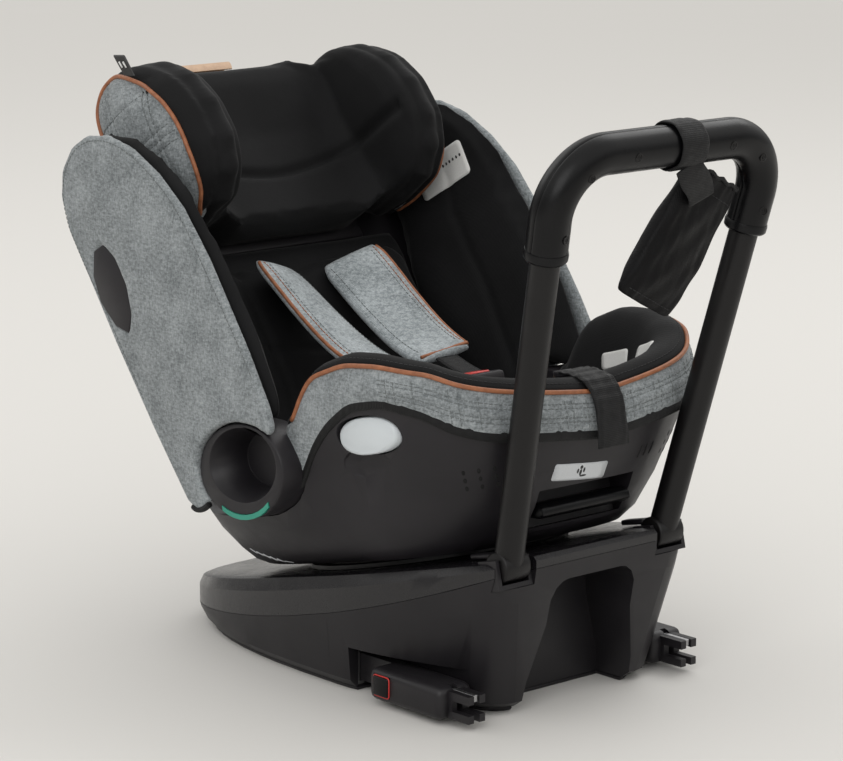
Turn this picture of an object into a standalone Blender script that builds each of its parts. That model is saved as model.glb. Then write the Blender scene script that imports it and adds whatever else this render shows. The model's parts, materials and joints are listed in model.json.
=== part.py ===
"""Convertible car seat on a turning base: ISOFIX arms, rebound bar, reclining shell and sliding headrest.

World frame: metres, +Z up, origin on the floor under the middle of the turntable.
The child faces -Y, towards the rebound bar and the ISOFIX arms. The base's nose points to +Y.
Three sets of coordinates are used, and each has a function that turns it into a world point:
  seat(x, f, h)   f runs forwards along the tilted deck and h straight up from it
  back(x, p, b)   b runs up the leaning backrest and p forwards from it
  plain world X, Y, Z
"""
import math

import bmesh
import bpy
from mathutils import Matrix, Vector

# ---------------------------------------------------------------- driving dimensions
DECK_TILT = math.radians(13.0)
DECK_CENTRE = Vector((0.0, 0.0, 0.110))
BACK_LEAN = math.radians(22.8)
GAP = 0.0004

SEAT_HALF_WIDTH = 0.225
SHELL_HALF_WIDTH = 0.197
RECLINE_CENTRE = (-0.125, 0.350)
RAIL_RADIUS = 0.320
PLAN_CENTRE = 0.060
SHELL_BOTTOM = 0.0085
CRADLE_ARC = (16.0, 33.0)
CUP_CENTRE = (-0.013, 0.112)
CUP_HALF = (0.0645, 0.0465)
CUP_CLEARANCE = 0.001
BUTTON_CENTRE = (0.138, 0.1325)
BUTTON_HALF = (0.0350, 0.0180)
BUTTON_CLEARANCE = 0.0014

BASE_HALF_WIDTH = 0.157
BASE_NOSE_Y = 0.299
BASE_END_Y = -0.222
SOLE_THICKNESS = 0.004

BAR_TUBE_RADIUS = 0.014
BAR_SHROUD_RADIUS = 0.0195
BAR_LEAN = math.radians(26.8)
BAR_FOOT = (0.102, 0.211, -0.006)
BAR_TOP_HALF_WIDTH = 0.133
BAR_HEIGHT = 0.405
FORK_HALF_WIDTH = 0.0215
FORK_REAR = 0.017
FORK_FRONT = 0.007
FORK_BOTTOM = -0.0270

ARM_CENTRE_X = 0.1415
ARM_HALF_WIDTH = 0.0215
ARM_FRONT_Y = -0.180
RAIL_X = 0.1300

COLOURS = {
    "base_plastic": ((0.045, 0.043, 0.047), 0.45, 0.0),
    "deck_plastic": ((0.035, 0.034, 0.037), 0.22, 0.0),
    "shell_plastic": ((0.050, 0.048, 0.052), 0.50, 0.0),
    "steel": ((0.50, 0.50, 0.51), 0.35, 1.0),
    "black_steel": ((0.02, 0.02, 0.022), 0.40, 0.0),
    "bar_plastic": ((0.025, 0.025, 0.028), 0.30, 0.0),
    "grey_fabric": ((0.25, 0.27, 0.27), 0.90, 0.0),
    "black_fabric": ((0.02, 0.02, 0.022), 0.90, 0.0),
    "webbing": ((0.02, 0.02, 0.022), 0.80, 0.0),
    "button_grey": ((0.50, 0.52, 0.53), 0.40, 0.0),
    "button_red": ((0.60, 0.04, 0.04), 0.40, 0.0),
    "marker_teal": ((0.03, 0.27, 0.19), 0.45, 0.0),
    "accent_leather": ((0.35, 0.16, 0.08), 0.55, 0.0),
}


# ---------------------------------------------------------------- frames and points
def seat(x, f, h):
    """World point of a place on the seat: x across, f forwards along the deck, h up from the deck."""
    forwards = Vector((0.0, -math.cos(DECK_TILT), math.sin(DECK_TILT)))
    upwards = Vector((0.0, math.sin(DECK_TILT), math.cos(DECK_TILT)))
    return DECK_CENTRE + Vector((x, 0.0, 0.0)) + forwards * f + upwards * h


def back(x, p, b):
    """World point of a place on the backrest: x across, p forwards from it, b up along it."""
    lean_sin = math.sin(BACK_LEAN)
    lean_cos = math.cos(BACK_LEAN)
    return seat(x, p * lean_cos - b * lean_sin, p * lean_sin + b * lean_cos)


def bar(x, rise, forward=0.0):
    """World point in the rebound bar's plane: rise from its pivot, forward out of the plane."""
    lean_sin = math.sin(BAR_LEAN)
    lean_cos = math.cos(BAR_LEAN)
    f = BAR_FOOT[1] + rise * lean_sin + forward * lean_cos
    h = BAR_FOOT[2] + rise * lean_cos - forward * lean_sin
    return seat(x, f, h)


def world(x, y, z):
    """World point, so that every builder can be given a place function."""
    return Vector((x, y, z))


def deck_height(y):
    """Height of the tilted deck above the floor."""
    return DECK_CENTRE.z - math.tan(DECK_TILT) * y


def seam_height(y):
    """Height of the seam between the base housing and its deck, a shallow curve."""
    return 0.0716 - 0.27 * y + 0.33 * y * y


def deck_shoulder(y):
    """Height where the deck's upright side starts to turn in to its top."""
    return seam_height(y) * 0.3 + deck_height(y) * 0.7 - 0.002


# ---------------------------------------------------------------- scene, materials and holders
for old in list(bpy.data.objects):
    bpy.data.objects.remove(old, do_unlink=True)


def material(slot):
    """The Principled material of one slot, made once."""
    found = bpy.data.materials.get(slot)
    if found:
        return found
    colour, roughness, metallic = COLOURS[slot]
    made = bpy.data.materials.new(slot)
    made.use_nodes = True
    shader = made.node_tree.nodes["Principled BSDF"]
    shader.inputs["Base Color"].default_value = (*colour, 1.0)
    shader.inputs["Roughness"].default_value = roughness
    shader.inputs["Metallic"].default_value = metallic
    made.diffuse_color = (*colour, 1.0)
    return made


def holder(name, place, parent=None):
    """An empty on a joint's axis, tilted like the deck. What the joint moves is parented to it."""
    empty = bpy.data.objects.new(name, None)
    bpy.context.scene.collection.objects.link(empty)
    matrix = Matrix.Translation(place) @ Matrix.Rotation(-DECK_TILT, 4, "X")
    empty["rest"] = [value for row in matrix for value in row]
    if parent is None:
        empty.matrix_basis = matrix
    else:
        empty.parent = parent
        empty.matrix_basis = rest_matrix(parent).inverted() @ matrix
    return empty


def rest_matrix(empty):
    """World matrix that a holder was made with."""
    values = list(empty["rest"])
    return Matrix([values[row * 4:row * 4 + 4] for row in range(4)])


def solid(name, mesh_data, slot, parent, smooth_angle=40.0):
    """Finish a bmesh as a named object with its material, held by its joint's empty."""
    mesh = bpy.data.meshes.new(name)
    bmesh.ops.recalc_face_normals(mesh_data, faces=mesh_data.faces)
    mesh_data.to_mesh(mesh)
    mesh_data.free()
    mesh.transform(rest_matrix(parent).inverted())
    mesh.materials.append(material(slot))
    mesh.shade_smooth()
    mesh.set_sharp_from_angle(angle=math.radians(smooth_angle))
    piece = bpy.data.objects.new(name, mesh)
    piece.parent = parent
    bpy.context.scene.collection.objects.link(piece)
    return piece


def round_edges(piece, width, segments=2):
    """Round a piece's sharp edges."""
    modifier = piece.modifiers.new("round", "BEVEL")
    modifier.width = width
    modifier.segments = segments
    modifier.limit_method = "ANGLE"
    modifier.angle_limit = math.radians(35.0)
    return piece


def boolean(piece, tool_data, operation="DIFFERENCE", solver="EXACT"):
    """Cut or join a hidden tool shape with a piece."""
    tool = solid(piece.name + "_tool_%d" % len(piece.modifiers), tool_data, "steel", piece.parent)
    tool.hide_render = True
    tool.display_type = "WIRE"
    modifier = piece.modifiers.new("shape", "BOOLEAN")
    modifier.operation = operation
    modifier.solver = solver
    modifier.object = tool
    return piece


# ---------------------------------------------------------------- shape builders
def skin(rings, ladder_caps=False):
    """A closed skin over rings of points, all of the same count.

    Ladder caps join each point to its mirror image across x, so that two skins which share
    a curved seam also share its facets.
    """
    data = bmesh.new()
    loops = [[data.verts.new(point) for point in ring] for ring in rings]
    count = len(loops[0])
    for lower, upper in zip(loops, loops[1:]):
        for i in range(count):
            j = (i + 1) % count
            data.faces.new((lower[i], lower[j], upper[j], upper[i]))
    for loop in (loops[0], loops[-1]):
        if ladder_caps:
            tip = count // 2
            for i in range(tip - 1):
                data.faces.new((loop[i], loop[i + 1], loop[count - 2 - i], loop[count - 1 - i]))
            data.faces.new((loop[tip - 1], loop[tip], loop[tip + 1]))
        else:
            data.faces.new(loop)
    return data


def slab(outline, near, far, place):
    """A flat plate: outline points (u, v) between two depths, put in the world by place(u, v, depth)."""
    return skin([[place(u, v, depth) for u, v in outline] for depth in (near, far)])


def block(low, high, place=world):
    """A box between two corners, in the coordinates of place."""
    corners = [(low[0], low[1]), (high[0], low[1]), (high[0], high[1]), (low[0], high[1])]
    return slab(corners, low[2], high[2], lambda u, v, depth: place(u, v, depth))


def round_rod(start, end, radius, count=20):
    """A straight round rod between two world points."""
    axis = (end - start).normalized()
    across = axis.orthogonal().normalized()
    other = axis.cross(across)
    turns = [2.0 * math.pi * i / count for i in range(count)]
    ring = [across * math.cos(turn) * radius + other * math.sin(turn) * radius for turn in turns]
    return skin([[start + offset for offset in ring], [end + offset for offset in ring]])


def ring_tube(centre, axis, inner, outer, near, far, count=48):
    """A flat ring about an axis through centre, between two depths along it."""
    across = axis.orthogonal().normalized()
    other = axis.cross(across)
    data = bmesh.new()
    loops = []
    for radius, depth in ((inner, near), (outer, near), (outer, far), (inner, far)):
        turns = [2.0 * math.pi * i / count for i in range(count)]
        points = [centre + axis * depth + (across * math.cos(t) + other * math.sin(t)) * radius for t in turns]
        loops.append([data.verts.new(point) for point in points])
    for first, second in zip(loops, loops[1:] + loops[:1]):
        for i in range(count):
            j = (i + 1) % count
            data.faces.new((first[i], first[j], second[j], second[i]))
    return data


def sweep(path, section, normal):
    """Carry a section (side, normal) along a path that lies in the plane with the given normal."""
    rings = []
    for i, point in enumerate(path):
        ahead = path[min(i + 1, len(path) - 1)]
        behind = path[max(i - 1, 0)]
        along = (ahead - behind).normalized()
        side = normal.cross(along).normalized()
        rings.append([point + side * u + normal * v for u, v in section])
    return skin(rings)


def circle(radius, count=16):
    """Section points of a round tube."""
    return [(radius * math.cos(2.0 * math.pi * i / count), radius * math.sin(2.0 * math.pi * i / count))
            for i in range(count)]


def ellipse(centre_u, centre_v, half_u, half_v, count=24, power=2.0):
    """Outline of an ellipse, or of a squarer oval for a power above 2."""
    points = []
    for i in range(count):
        turn = 2.0 * math.pi * i / count
        cosine = math.cos(turn)
        sine = math.sin(turn)
        u = math.copysign(abs(cosine) ** (2.0 / power), cosine)
        v = math.copysign(abs(sine) ** (2.0 / power), sine)
        points.append((centre_u + half_u * u, centre_v + half_v * v))
    return points


def arc(centre_u, centre_v, radius, start, end, steps):
    """Points of an arc, angles in degrees from +u towards +v."""
    points = []
    for i in range(steps + 1):
        turn = math.radians(start + (end - start) * i / steps)
        points.append((centre_u + radius * math.cos(turn), centre_v + radius * math.sin(turn)))
    return points


def table(pairs, value):
    """Read a line given by a few (position, height) pairs, held level past its ends."""
    if value <= pairs[0][0]:
        return pairs[0][1]
    for (left, low), (right, high) in zip(pairs, pairs[1:]):
        if value <= right:
            share = (value - left) / (right - left)
            return low + (high - low) * share
    return pairs[-1][1]


SIDES = (("left", -1.0), ("right", 1.0))
ACROSS = Vector((1.0, 0.0, 0.0))
DECK_UP = (seat(0.0, 0.0, 1.0) - seat(0.0, 0.0, 0.0)).normalized()

root = holder("fixed_base", Vector((0.0, 0.0, 0.0)))
turntable = holder("turntable_axis", DECK_CENTRE, root)
recline_axis = holder("recline_axis", seat(0.0, *RECLINE_CENTRE), turntable)
headrest_slide = holder("headrest_slide", back(0.0, -0.051, 0.42), recline_axis)
bar_axis = holder("rebound_bar_axis", seat(0.0, BAR_FOOT[1], BAR_FOOT[2]), root)


# ---------------------------------------------------------------- base
def base_outline(inset, draft):
    """Plan of the base: narrow at the ISOFIX end, widest behind it, with a broad round nose."""
    end_y = BASE_END_Y + draft
    wide_y = -0.010
    end_half = 0.132 - draft * 0.75
    half = BASE_HALF_WIDTH - inset
    right = []
    corner = 0.030
    for i in range(5):
        turn = math.radians(90.0 * i / 4)
        x = end_half - inset - corner + corner * math.sin(turn)
        y = end_y + inset + corner - corner * math.cos(turn)
        right.append((x, y))
    for i in range(1, 9):
        share = i / 9
        y = end_y + inset + corner + (wide_y - end_y - inset - corner) * share
        x = end_half - inset + (half - end_half + inset) * math.sin(share * math.pi / 2)
        right.append((x, y))
    for i in range(15):
        turn = math.radians(90.0 * i / 14)
        nose = BASE_NOSE_Y - inset - wide_y
        x = half * math.cos(turn) ** (2.0 / 2.7)
        y = wide_y + nose * math.sin(turn) ** (2.0 / 2.7)
        right.append((max(x, 0.0), y))
    left = [(-x, y) for x, y in reversed(right[:-1])]
    return right + left


def base_ring(inset, draft, height):
    """One level of the base: height is a function of y."""
    return [Vector((x, y, height(y))) for x, y in base_outline(inset, draft)]


def isofix_notch(side):
    """Space along the base's side where an ISOFIX arm lies, and slides out."""
    near, far = sorted((side * 0.1175, side * 0.200))
    return block((near, -0.300, -0.010), (far, -0.038, 0.0455))


def guide_tunnel(side):
    """Blind hole for the steel guide that an arm's rail runs in."""
    middle = side * RAIL_X
    return block((middle - 0.0104, -0.080, 0.0046), (middle + 0.0104, 0.0704, 0.0414))


def socket_pocket(side):
    """Corner pocket in the deck for the rebound bar's foot."""
    middle = side * BAR_FOOT[0]
    half = FORK_HALF_WIDTH + GAP
    rear = BAR_FOOT[1] - FORK_REAR - GAP
    return block((middle - half, rear, FORK_BOTTOM - GAP), (middle + half, 0.330, 0.150), seat)


arch = [(-0.074, -0.02), (-0.070, 0.030), (-0.056, 0.086)]
arch += [(-0.034 + 0.022 * math.cos(math.radians(a)), 0.106 + 0.024 * math.sin(math.radians(a)))
         for a in (165, 135, 110, 90)]
arch += [(-u, v) for u, v in reversed(arch)]

sole = solid("base_sole", skin([base_ring(0.014, 0.026, lambda y: 0.0),
                                base_ring(0.012, 0.026, lambda y: SOLE_THICKNESS)]), "base_plastic", root)
housing = solid("base_housing", skin([base_ring(0.012, 0.026, lambda y: SOLE_THICKNESS + GAP),
                                      base_ring(0.005, 0.022, lambda y: 0.012),
                                      base_ring(0.001, 0.004, lambda y: seam_height(y) * 0.80),
                                      base_ring(0.0, 0.0, lambda y: seam_height(y) - GAP)], True),
                "base_plastic", root)
deck = solid("base_deck", skin([base_ring(0.0, 0.0, seam_height),
                                base_ring(0.0, 0.0, deck_shoulder),
                                base_ring(0.004, 0.0, lambda y: deck_height(y) - 0.0015),
                                base_ring(0.010, 0.0, deck_height)], True), "deck_plastic", root)
for piece in (sole, housing):
    boolean(piece, slab(arch, -0.300, -0.150, lambda u, v, depth: Vector((u, depth, v))))
for _, hand in SIDES:
    boolean(sole, isofix_notch(hand))
    boolean(housing, isofix_notch(hand))
    boolean(housing, guide_tunnel(hand))
    boolean(housing, socket_pocket(hand))
    boolean(deck, socket_pocket(hand))
boolean(deck, round_rod(seat(0, 0, -0.022), seat(0, 0, 0.02), 0.0325, 32))
boolean(deck, ring_tube(DECK_CENTRE, DECK_UP, 0.061, 0.075, -0.006, 0.02))

solid("turntable_outer_race", ring_tube(DECK_CENTRE, DECK_UP, 0.1185, 0.129, GAP, 0.0050), "black_steel", root)


def isofix_side(name, side):
    """Guide, arm with its forked tip, locking jaw and release button on one side."""
    middle = side * ARM_CENTRE_X
    rail = side * RAIL_X
    front = ARM_FRONT_Y
    tip = front - 0.028
    guide = solid("isofix_guide_" + name, block((rail - 0.010, -0.036, 0.005), (rail + 0.010, 0.070, 0.041)),
                  "steel", root)
    boolean(guide, block((rail - 0.0068, -0.060, 0.0085), (rail + 0.0068, 0.066, 0.0375)))
    slide = holder("isofix_slide_" + name, Vector((middle, front, 0.021)), root)
    arm = solid("isofix_arm_" + name, block((middle - ARM_HALF_WIDTH, front, 0.0055),
                                            (middle + ARM_HALF_WIDTH, -0.078, 0.0374)), "base_plastic", slide)
    round_edges(arm, 0.008, 3)
    boolean(arm, block((rail - 0.006, -0.090, 0.0095), (rail + 0.006, 0.052, 0.0365)), "UNION")
    boolean(arm, block((middle - 0.0105, tip, 0.0080), (middle + 0.0105, front + 0.009, 0.0340)), "UNION")
    boolean(arm, block((middle - 0.020, tip - 0.012, 0.0155), (middle + 0.020, front - 0.0045, 0.0260)))
    boolean(arm, block((middle - 0.0035, tip - 0.012, 0.0020), (middle + 0.0035, front + 0.009, 0.0420)))
    face = middle + side * ARM_HALF_WIDTH
    near, far = sorted((face - side * 0.009, face + side * 0.010))
    boolean(arm, block((near, -0.1095, 0.0115), (far, -0.0865, 0.0325)))
    jaw_axis = holder("isofix_jaw_axis_" + name, Vector((middle, front + 0.0015, 0.0305)), slide)
    hook = [(front + 0.0050, 0.0275), (front + 0.0050, 0.0340), (tip + 0.0020, 0.0340), (tip + 0.0020, 0.0275),
            (tip + 0.0110, 0.0290)]
    solid("isofix_jaw_" + name, slab(hook, middle - 0.0025, middle + 0.0025,
                                     lambda u, v, depth: Vector((depth, u, v))), "steel", jaw_axis)
    near, far = sorted((face - side * 0.0050, face + side * 0.0025))
    button_slide = holder("isofix_button_slide_" + name, Vector((face, -0.098, 0.022)), slide)
    button = solid("isofix_button_" + name, block((near, -0.1085, 0.0125), (far, -0.0875, 0.0315)),
                   "button_red", button_slide)
    round_edges(button, 0.0015)


for label, hand in SIDES:
    isofix_side(label, hand)


# ---------------------------------------------------------------- rebound bar
def bar_path(start):
    """Centre line of the bar: up one leg, round the top and down the other, in (x, rise)."""
    corner = 0.054
    lean = math.atan2(BAR_TOP_HALF_WIDTH - BAR_FOOT[0], BAR_HEIGHT - corner)
    points = [(BAR_FOOT[0] + math.tan(lean) * rise, rise) for rise in start]
    centre_u = BAR_TOP_HALF_WIDTH - corner
    points += arc(centre_u, BAR_HEIGHT - corner, corner, -math.degrees(lean) * 0.5, 90.0, 8)
    points += [(centre_u * 0.5, BAR_HEIGHT)]
    left = [(-u, v) for u, v in reversed(points)]
    return [bar(u, v) for u, v in points + left]


BAR_OUT = (bar(0.0, 0.0, 1.0) - bar(0.0, 0.0, 0.0)).normalized()
SHROUD_START = 0.314


def foot_fork(name, side):
    """Steel-pinned fork in the base's corner that the bar's foot turns in."""
    middle = side * BAR_FOOT[0]
    wall = 0.0045
    half = FORK_HALF_WIDTH
    bottom = FORK_BOTTOM
    top = BAR_FOOT[2] + 0.0075
    floor = bottom + wall
    profile = [(-half, bottom), (half, bottom), (half, top), (half - wall, top), (half - wall, floor),
               (wall - half, floor), (wall - half, top), (-half, top)]
    profile = [(middle + u, v) for u, v in profile]
    fork = solid("rebound_socket_" + name, slab(profile, BAR_FOOT[1] - FORK_REAR, BAR_FOOT[1] + FORK_FRONT,
                                                lambda u, v, depth: seat(u, depth, v)), "base_plastic", root)
    pivot = (BAR_FOOT[1], BAR_FOOT[2])
    boolean(fork, round_rod(seat(middle - half + 0.001, *pivot), seat(middle + half - 0.001, *pivot), 0.004),
            "UNION")


for label, hand in SIDES:
    foot_fork(label, hand)

tube = solid("rebound_tube", sweep(bar_path([0.004, 0.16]), circle(BAR_TUBE_RADIUS, 14), BAR_OUT),
             "black_steel", bar_axis)
for _, hand in SIDES:
    middle = hand * BAR_FOOT[0]
    pivot = (BAR_FOOT[1], BAR_FOOT[2])
    boolean(tube, round_rod(seat(middle - 0.0163, *pivot), seat(middle + 0.0163, *pivot), 0.0156, 32), "UNION")
    boolean(tube, round_rod(seat(middle - 0.02, *pivot), seat(middle + 0.02, *pivot), 0.0044))


def half_shroud(name, sign):
    """One half of the shroud: a half-round channel over the tube, on the child's or the far side."""
    outer = BAR_SHROUD_RADIUS
    inner = BAR_TUBE_RADIUS + 0.0006
    turns = [math.radians(a) for a in range(0, 181, 20)]
    section = [(outer * math.cos(t), sign * (0.0003 + outer * math.sin(t))) for t in turns]
    section += [(inner * math.cos(t), sign * (0.0003 + inner * math.sin(t))) for t in reversed(turns)]
    solid(name, sweep(bar_path([SHROUD_START]), section, BAR_OUT), "bar_plastic", bar_axis)


half_shroud("rebound_shroud_outer", 1.0)
half_shroud("rebound_shroud_inner", -1.0)


def bar_latch(name, side):
    """Release lever lying on the deck behind the bar's foot."""
    middle = side * (BAR_FOOT[0] - 0.002)
    axis = holder("rebound_latch_axis_" + name, seat(middle, 0.168, 0.0045), root)
    outline = [(middle - 0.006, 0.164), (middle + 0.006, 0.164),
               (middle + 0.008, 0.196), (middle - 0.008, 0.196)]
    lever = solid("rebound_latch_" + name, slab(outline, 0.0015, 0.0065, seat), "base_plastic", axis)
    round_edges(lever, 0.0015)


for label, hand in SIDES:
    bar_latch(label, hand)


# Pouch: hangs from a hook-and-loop strap round the bar's top, and leans towards the left leg.
LOOP_X = 0.015
solid("pouch_loop", ring_tube(bar(LOOP_X, BAR_HEIGHT), ACROSS, BAR_SHROUD_RADIUS + 0.0012,
                              BAR_SHROUD_RADIUS + 0.0040, -0.020, 0.020, 24), "webbing", bar_axis)
POUCH_TOP = (0.056, 0.350)
POUCH_BOTTOM = (0.005, 0.250)


def pouch_ring(share, half_width, half_depth):
    """One level of the pouch, from its mouth (0) to its bottom (1)."""
    along = Vector((POUCH_BOTTOM[0] - POUCH_TOP[0], POUCH_BOTTOM[1] - POUCH_TOP[1]))
    across = Vector((-along.y, along.x)).normalized()
    middle = Vector(POUCH_TOP) + along * share
    points = []
    for u, v in ellipse(0.0, 0.0, half_width, half_depth, 20, 3.0):
        spot = middle + across * u
        points.append(bar(spot.x, spot.y, v + 0.0025))
    return points


solid("storage_pouch", skin([pouch_ring(0.0, 0.032, 0.010), pouch_ring(0.04, 0.035, 0.013),
                             pouch_ring(0.45, 0.038, 0.016), pouch_ring(0.85, 0.038, 0.014),
                             pouch_ring(1.0, 0.034, 0.007)]),
      "webbing", bar_axis)


# ---------------------------------------------------------------- turntable and recline cradle
plate = solid("turntable_plate", round_rod(seat(0, 0, 0.0010), seat(0, 0, 0.0060), 0.1165, 56), "black_steel",
              turntable)
PIN_AT = (0.0, 0.068)
boolean(plate, round_rod(seat(*PIN_AT, -0.01), seat(*PIN_AT, 0.02), 0.0045, 16))
boolean(plate, round_rod(seat(0, 0, -0.020), seat(0, 0, 0.0030), 0.0320, 32), "UNION")
pin_slide = holder("lock_pin_slide", seat(*PIN_AT, 0.0), turntable)
solid("rotation_lock_pin", round_rod(seat(*PIN_AT, -0.0045), seat(*PIN_AT, 0.0160), 0.0040, 16), "steel",
      pin_slide)


def about_recline(radius, degrees):
    """Point (f, h) at a radius below the recline centre, degrees measured forwards from straight down."""
    turn = math.radians(degrees)
    return (RECLINE_CENTRE[0] + radius * math.sin(turn), RECLINE_CENTRE[1] - radius * math.cos(turn))


def side_plate(outline, near, far):
    """A plate with its outline in (f, h), between two x."""
    return slab(outline, near, far, lambda u, v, depth: seat(depth, u, v))


def cup_outline(clearance):
    """Outline of the belt guide's cup in (f, h), with a clearance around it."""
    return ellipse(*CUP_CENTRE, CUP_HALF[0] + clearance, CUP_HALF[1] + clearance, 32)


CRADLE_STEPS = 8
cradle_top = [about_recline(RAIL_RADIUS, CRADLE_ARC[0] + (CRADLE_ARC[1] - CRADLE_ARC[0]) * i / CRADLE_STEPS)
              for i in range(CRADLE_STEPS + 1)]
cradle_outline = [(cradle_top[0][0], 0.0064)] + cradle_top + [(cradle_top[-1][0], 0.0064)]
cradle = solid("recline_cradle", side_plate(cradle_outline, -0.078, 0.078), "black_steel", turntable)
boolean(cradle, side_plate([(-0.020, 0.012), (0.032, 0.012), (0.032, 0.044), (-0.020, 0.036)], -0.10, 0.10))


# ---------------------------------------------------------------- lower shell
TRIM_SIDE = [(-0.190, 0.095), (-0.140, 0.074), (-0.120, 0.070), (-0.040, 0.064), (0.009, 0.068),
             (0.045, 0.093), (0.071, 0.125), (0.094, 0.143), (0.128, 0.160), (0.167, 0.160), (0.204, 0.145),
             (0.242, 0.127)]


def trim_height(x, f):
    """Height of the shell's upper edge, where the fabric trim ends."""
    side_height = table(TRIM_SIDE, f)
    if f < 0.150:
        return side_height
    inward = 1.0 - min(abs(x) / 0.170, 1.0)
    return side_height - (side_height - 0.099) * inward ** 0.6


def plan(turn, half, front, rear, square=3.4):
    """Plan point (x, f) of the seat's outline in a direction: turn 0 is forwards, 90 degrees to the right."""
    sine = math.sin(turn)
    cosine = math.cos(turn)
    power = square if cosine > 0.0 else 4.0
    length = front - PLAN_CENTRE if cosine > 0.0 else rear + PLAN_CENTRE
    reach = (abs(sine / half) ** power + abs(cosine / length) ** power) ** (-1.0 / power)
    return reach * sine, PLAN_CENTRE + reach * cosine


def shell_ring(share, inset=0.0, drop=None, count=56):
    """A level of the shell from its bottom (0) to its upper edge (1)."""
    spread = share ** 0.65
    half = 0.135 + 0.062 * spread - inset
    front = 0.185 + 0.069 * spread - inset
    rear = 0.166 + 0.024 * spread - inset
    points = []
    for i in range(count):
        x, f = plan(2.0 * math.pi * i / count, half, front, rear, 2.5 + 0.9 * share)
        h = SHELL_BOTTOM + (trim_height(x, f) - SHELL_BOTTOM) * share
        if drop is not None:
            h = min(h, drop(f))
        points.append(seat(x, f, h))
    return points


def shell_floor(f):
    """Height of the shell's floor under the cushions."""
    return table([(-0.110, 0.054), (-0.040, 0.086), (0.000, 0.098)], f)


def floor_ring(scale):
    """A ring of the floor, closing it towards the middle."""
    points = []
    for point in shell_ring(1.0, 0.030, shell_floor):
        local = point - DECK_CENTRE
        forwards = seat(0, 1, 0) - DECK_CENTRE
        f = local.dot(forwards) * scale
        points.append(seat(local.x * scale, f, min(shell_floor(f), local.dot(DECK_UP) + (1 - scale))))
    return points


shell = solid("seat_shell", skin([shell_ring(0.0), shell_ring(0.10), shell_ring(0.35), shell_ring(0.68),
                                  shell_ring(1.0), shell_ring(1.0, 0.009), floor_ring(1.0), floor_ring(0.72),
                                  floor_ring(0.4), floor_ring(0.12)]), "shell_plastic", recline_axis)
pocket = [about_recline(RAIL_RADIUS - 0.0046, -3.0 + 37.5 * i / 12) for i in range(13)]
pocket += [about_recline(0.425, 34.5), about_recline(0.425, -3.0)]
boolean(shell, side_plate(pocket, -0.085, 0.085))

for label, hand in SIDES:
    rail = [about_recline(RAIL_RADIUS - 0.0043, -1.5 + 35.0 * i / 12) for i in range(13)]
    rail += [about_recline(RAIL_RADIUS - 0.0010, 33.5 - 35.0 * i / 12) for i in range(13)]
    solid("rocker_rail_" + label, side_plate(rail, hand * 0.058 - 0.012, hand * 0.058 + 0.012), "steel",
          recline_axis)


# Rotation buttons, one in each side of the shell, in front of the belt guide.
def wall(f):
    """Half-width of the shell's side at button height."""
    return 0.188 * (1.0 - (max(f - PLAN_CENTRE, 0.0) / 0.186) ** 3.4) ** (1.0 / 3.4)


def wall_plate(outline, side, near, far):
    """A plate that follows the shell's side wall, between two depths measured outwards from it."""
    return slab(outline, near, far, lambda u, v, depth: seat(side * (wall(u) + depth), u, v))


def button_outline(clearance):
    """Outline of a rotation button in (f, h), with a clearance around it."""
    return ellipse(*BUTTON_CENTRE, BUTTON_HALF[0] + clearance, BUTTON_HALF[1] + clearance, 28, 2.3)


def scoop_ring(side, scale, depth):
    """One level of the finger scoop under the rotation button."""
    middle = (BUTTON_CENTRE[0] - 0.010, BUTTON_CENTRE[1] - 0.0305)
    outline = ellipse(*middle, 0.040 * scale, 0.024 * scale, 24, 2.2)
    return [seat(side * (wall(u) + depth), u, v) for u, v in outline]


def rotation_button(name, side):
    """Oval button that slides into a pocket in the shell's side."""
    boolean(shell, wall_plate(button_outline(BUTTON_CLEARANCE), side, -0.022, 0.040))
    scoop = [scoop_ring(side, 1.0, 0.020), scoop_ring(side, 0.80, -0.004), scoop_ring(side, 0.50, -0.011)]
    boolean(shell, skin(scoop))
    slide = holder("rotation_button_slide_" + name, seat(side * 0.19, *BUTTON_CENTRE), recline_axis)
    button = solid("rotation_button_" + name, wall_plate(button_outline(0.0), side, -0.013, 0.0045),
                   "button_grey", slide)
    round_edges(button, 0.0035)


for label, hand in SIDES:
    rotation_button(label, hand)

# Recline handle in a recess under the shell's front lip.
boolean(shell, block((-0.062, 0.190, 0.022), (0.062, 0.300, 0.057), seat))
handle_axis = holder("recline_handle_axis", seat(0.0, 0.197, 0.040), recline_axis)
handle = solid("recline_handle", side_plate([(0.193, 0.0330), (0.193, 0.0445), (0.212, 0.0445), (0.221, 0.040),
                                             (0.221, 0.0330), (0.214, 0.0300)], -0.058, 0.058),
               "bar_plastic", handle_axis)
round_edges(handle, 0.002)


# ---------------------------------------------------------------- backrest
def pad(name, rings, slot, parent):
    """A soft solid from rings of world points."""
    return solid(name, skin(rings), slot, parent, 60.0)


BACK_LEVELS = ((0.108, 0.150, 0.0), (0.125, 0.200, 0.008), (0.30, 0.212, 0.016), (0.43, 0.212, 0.014),
               (0.475, 0.195, 0.008), (0.490, 0.160, 0.0))
back_rings = []
for b_at, half, depth in BACK_LEVELS:
    front_line = [(half * s, -0.0655) for s in (1.0, 0.5, 0.0, -0.5, -1.0)]
    rear_line = [(half * s, -0.074 - depth * (1.0 - s * s)) for s in (-1.0, -0.75, -0.4, 0.0, 0.4, 0.75, 1.0)]
    back_rings.append([back(x, p, b_at) for x, p in front_line + rear_line])
solid("back_shell", skin(back_rings), "shell_plastic", recline_axis)


def upright_plate(outline, near, far):
    """A plate with its outline in (p, b) on the backrest, between two x."""
    return slab(outline, near, far, lambda u, v, depth: back(depth, u, v))


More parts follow.
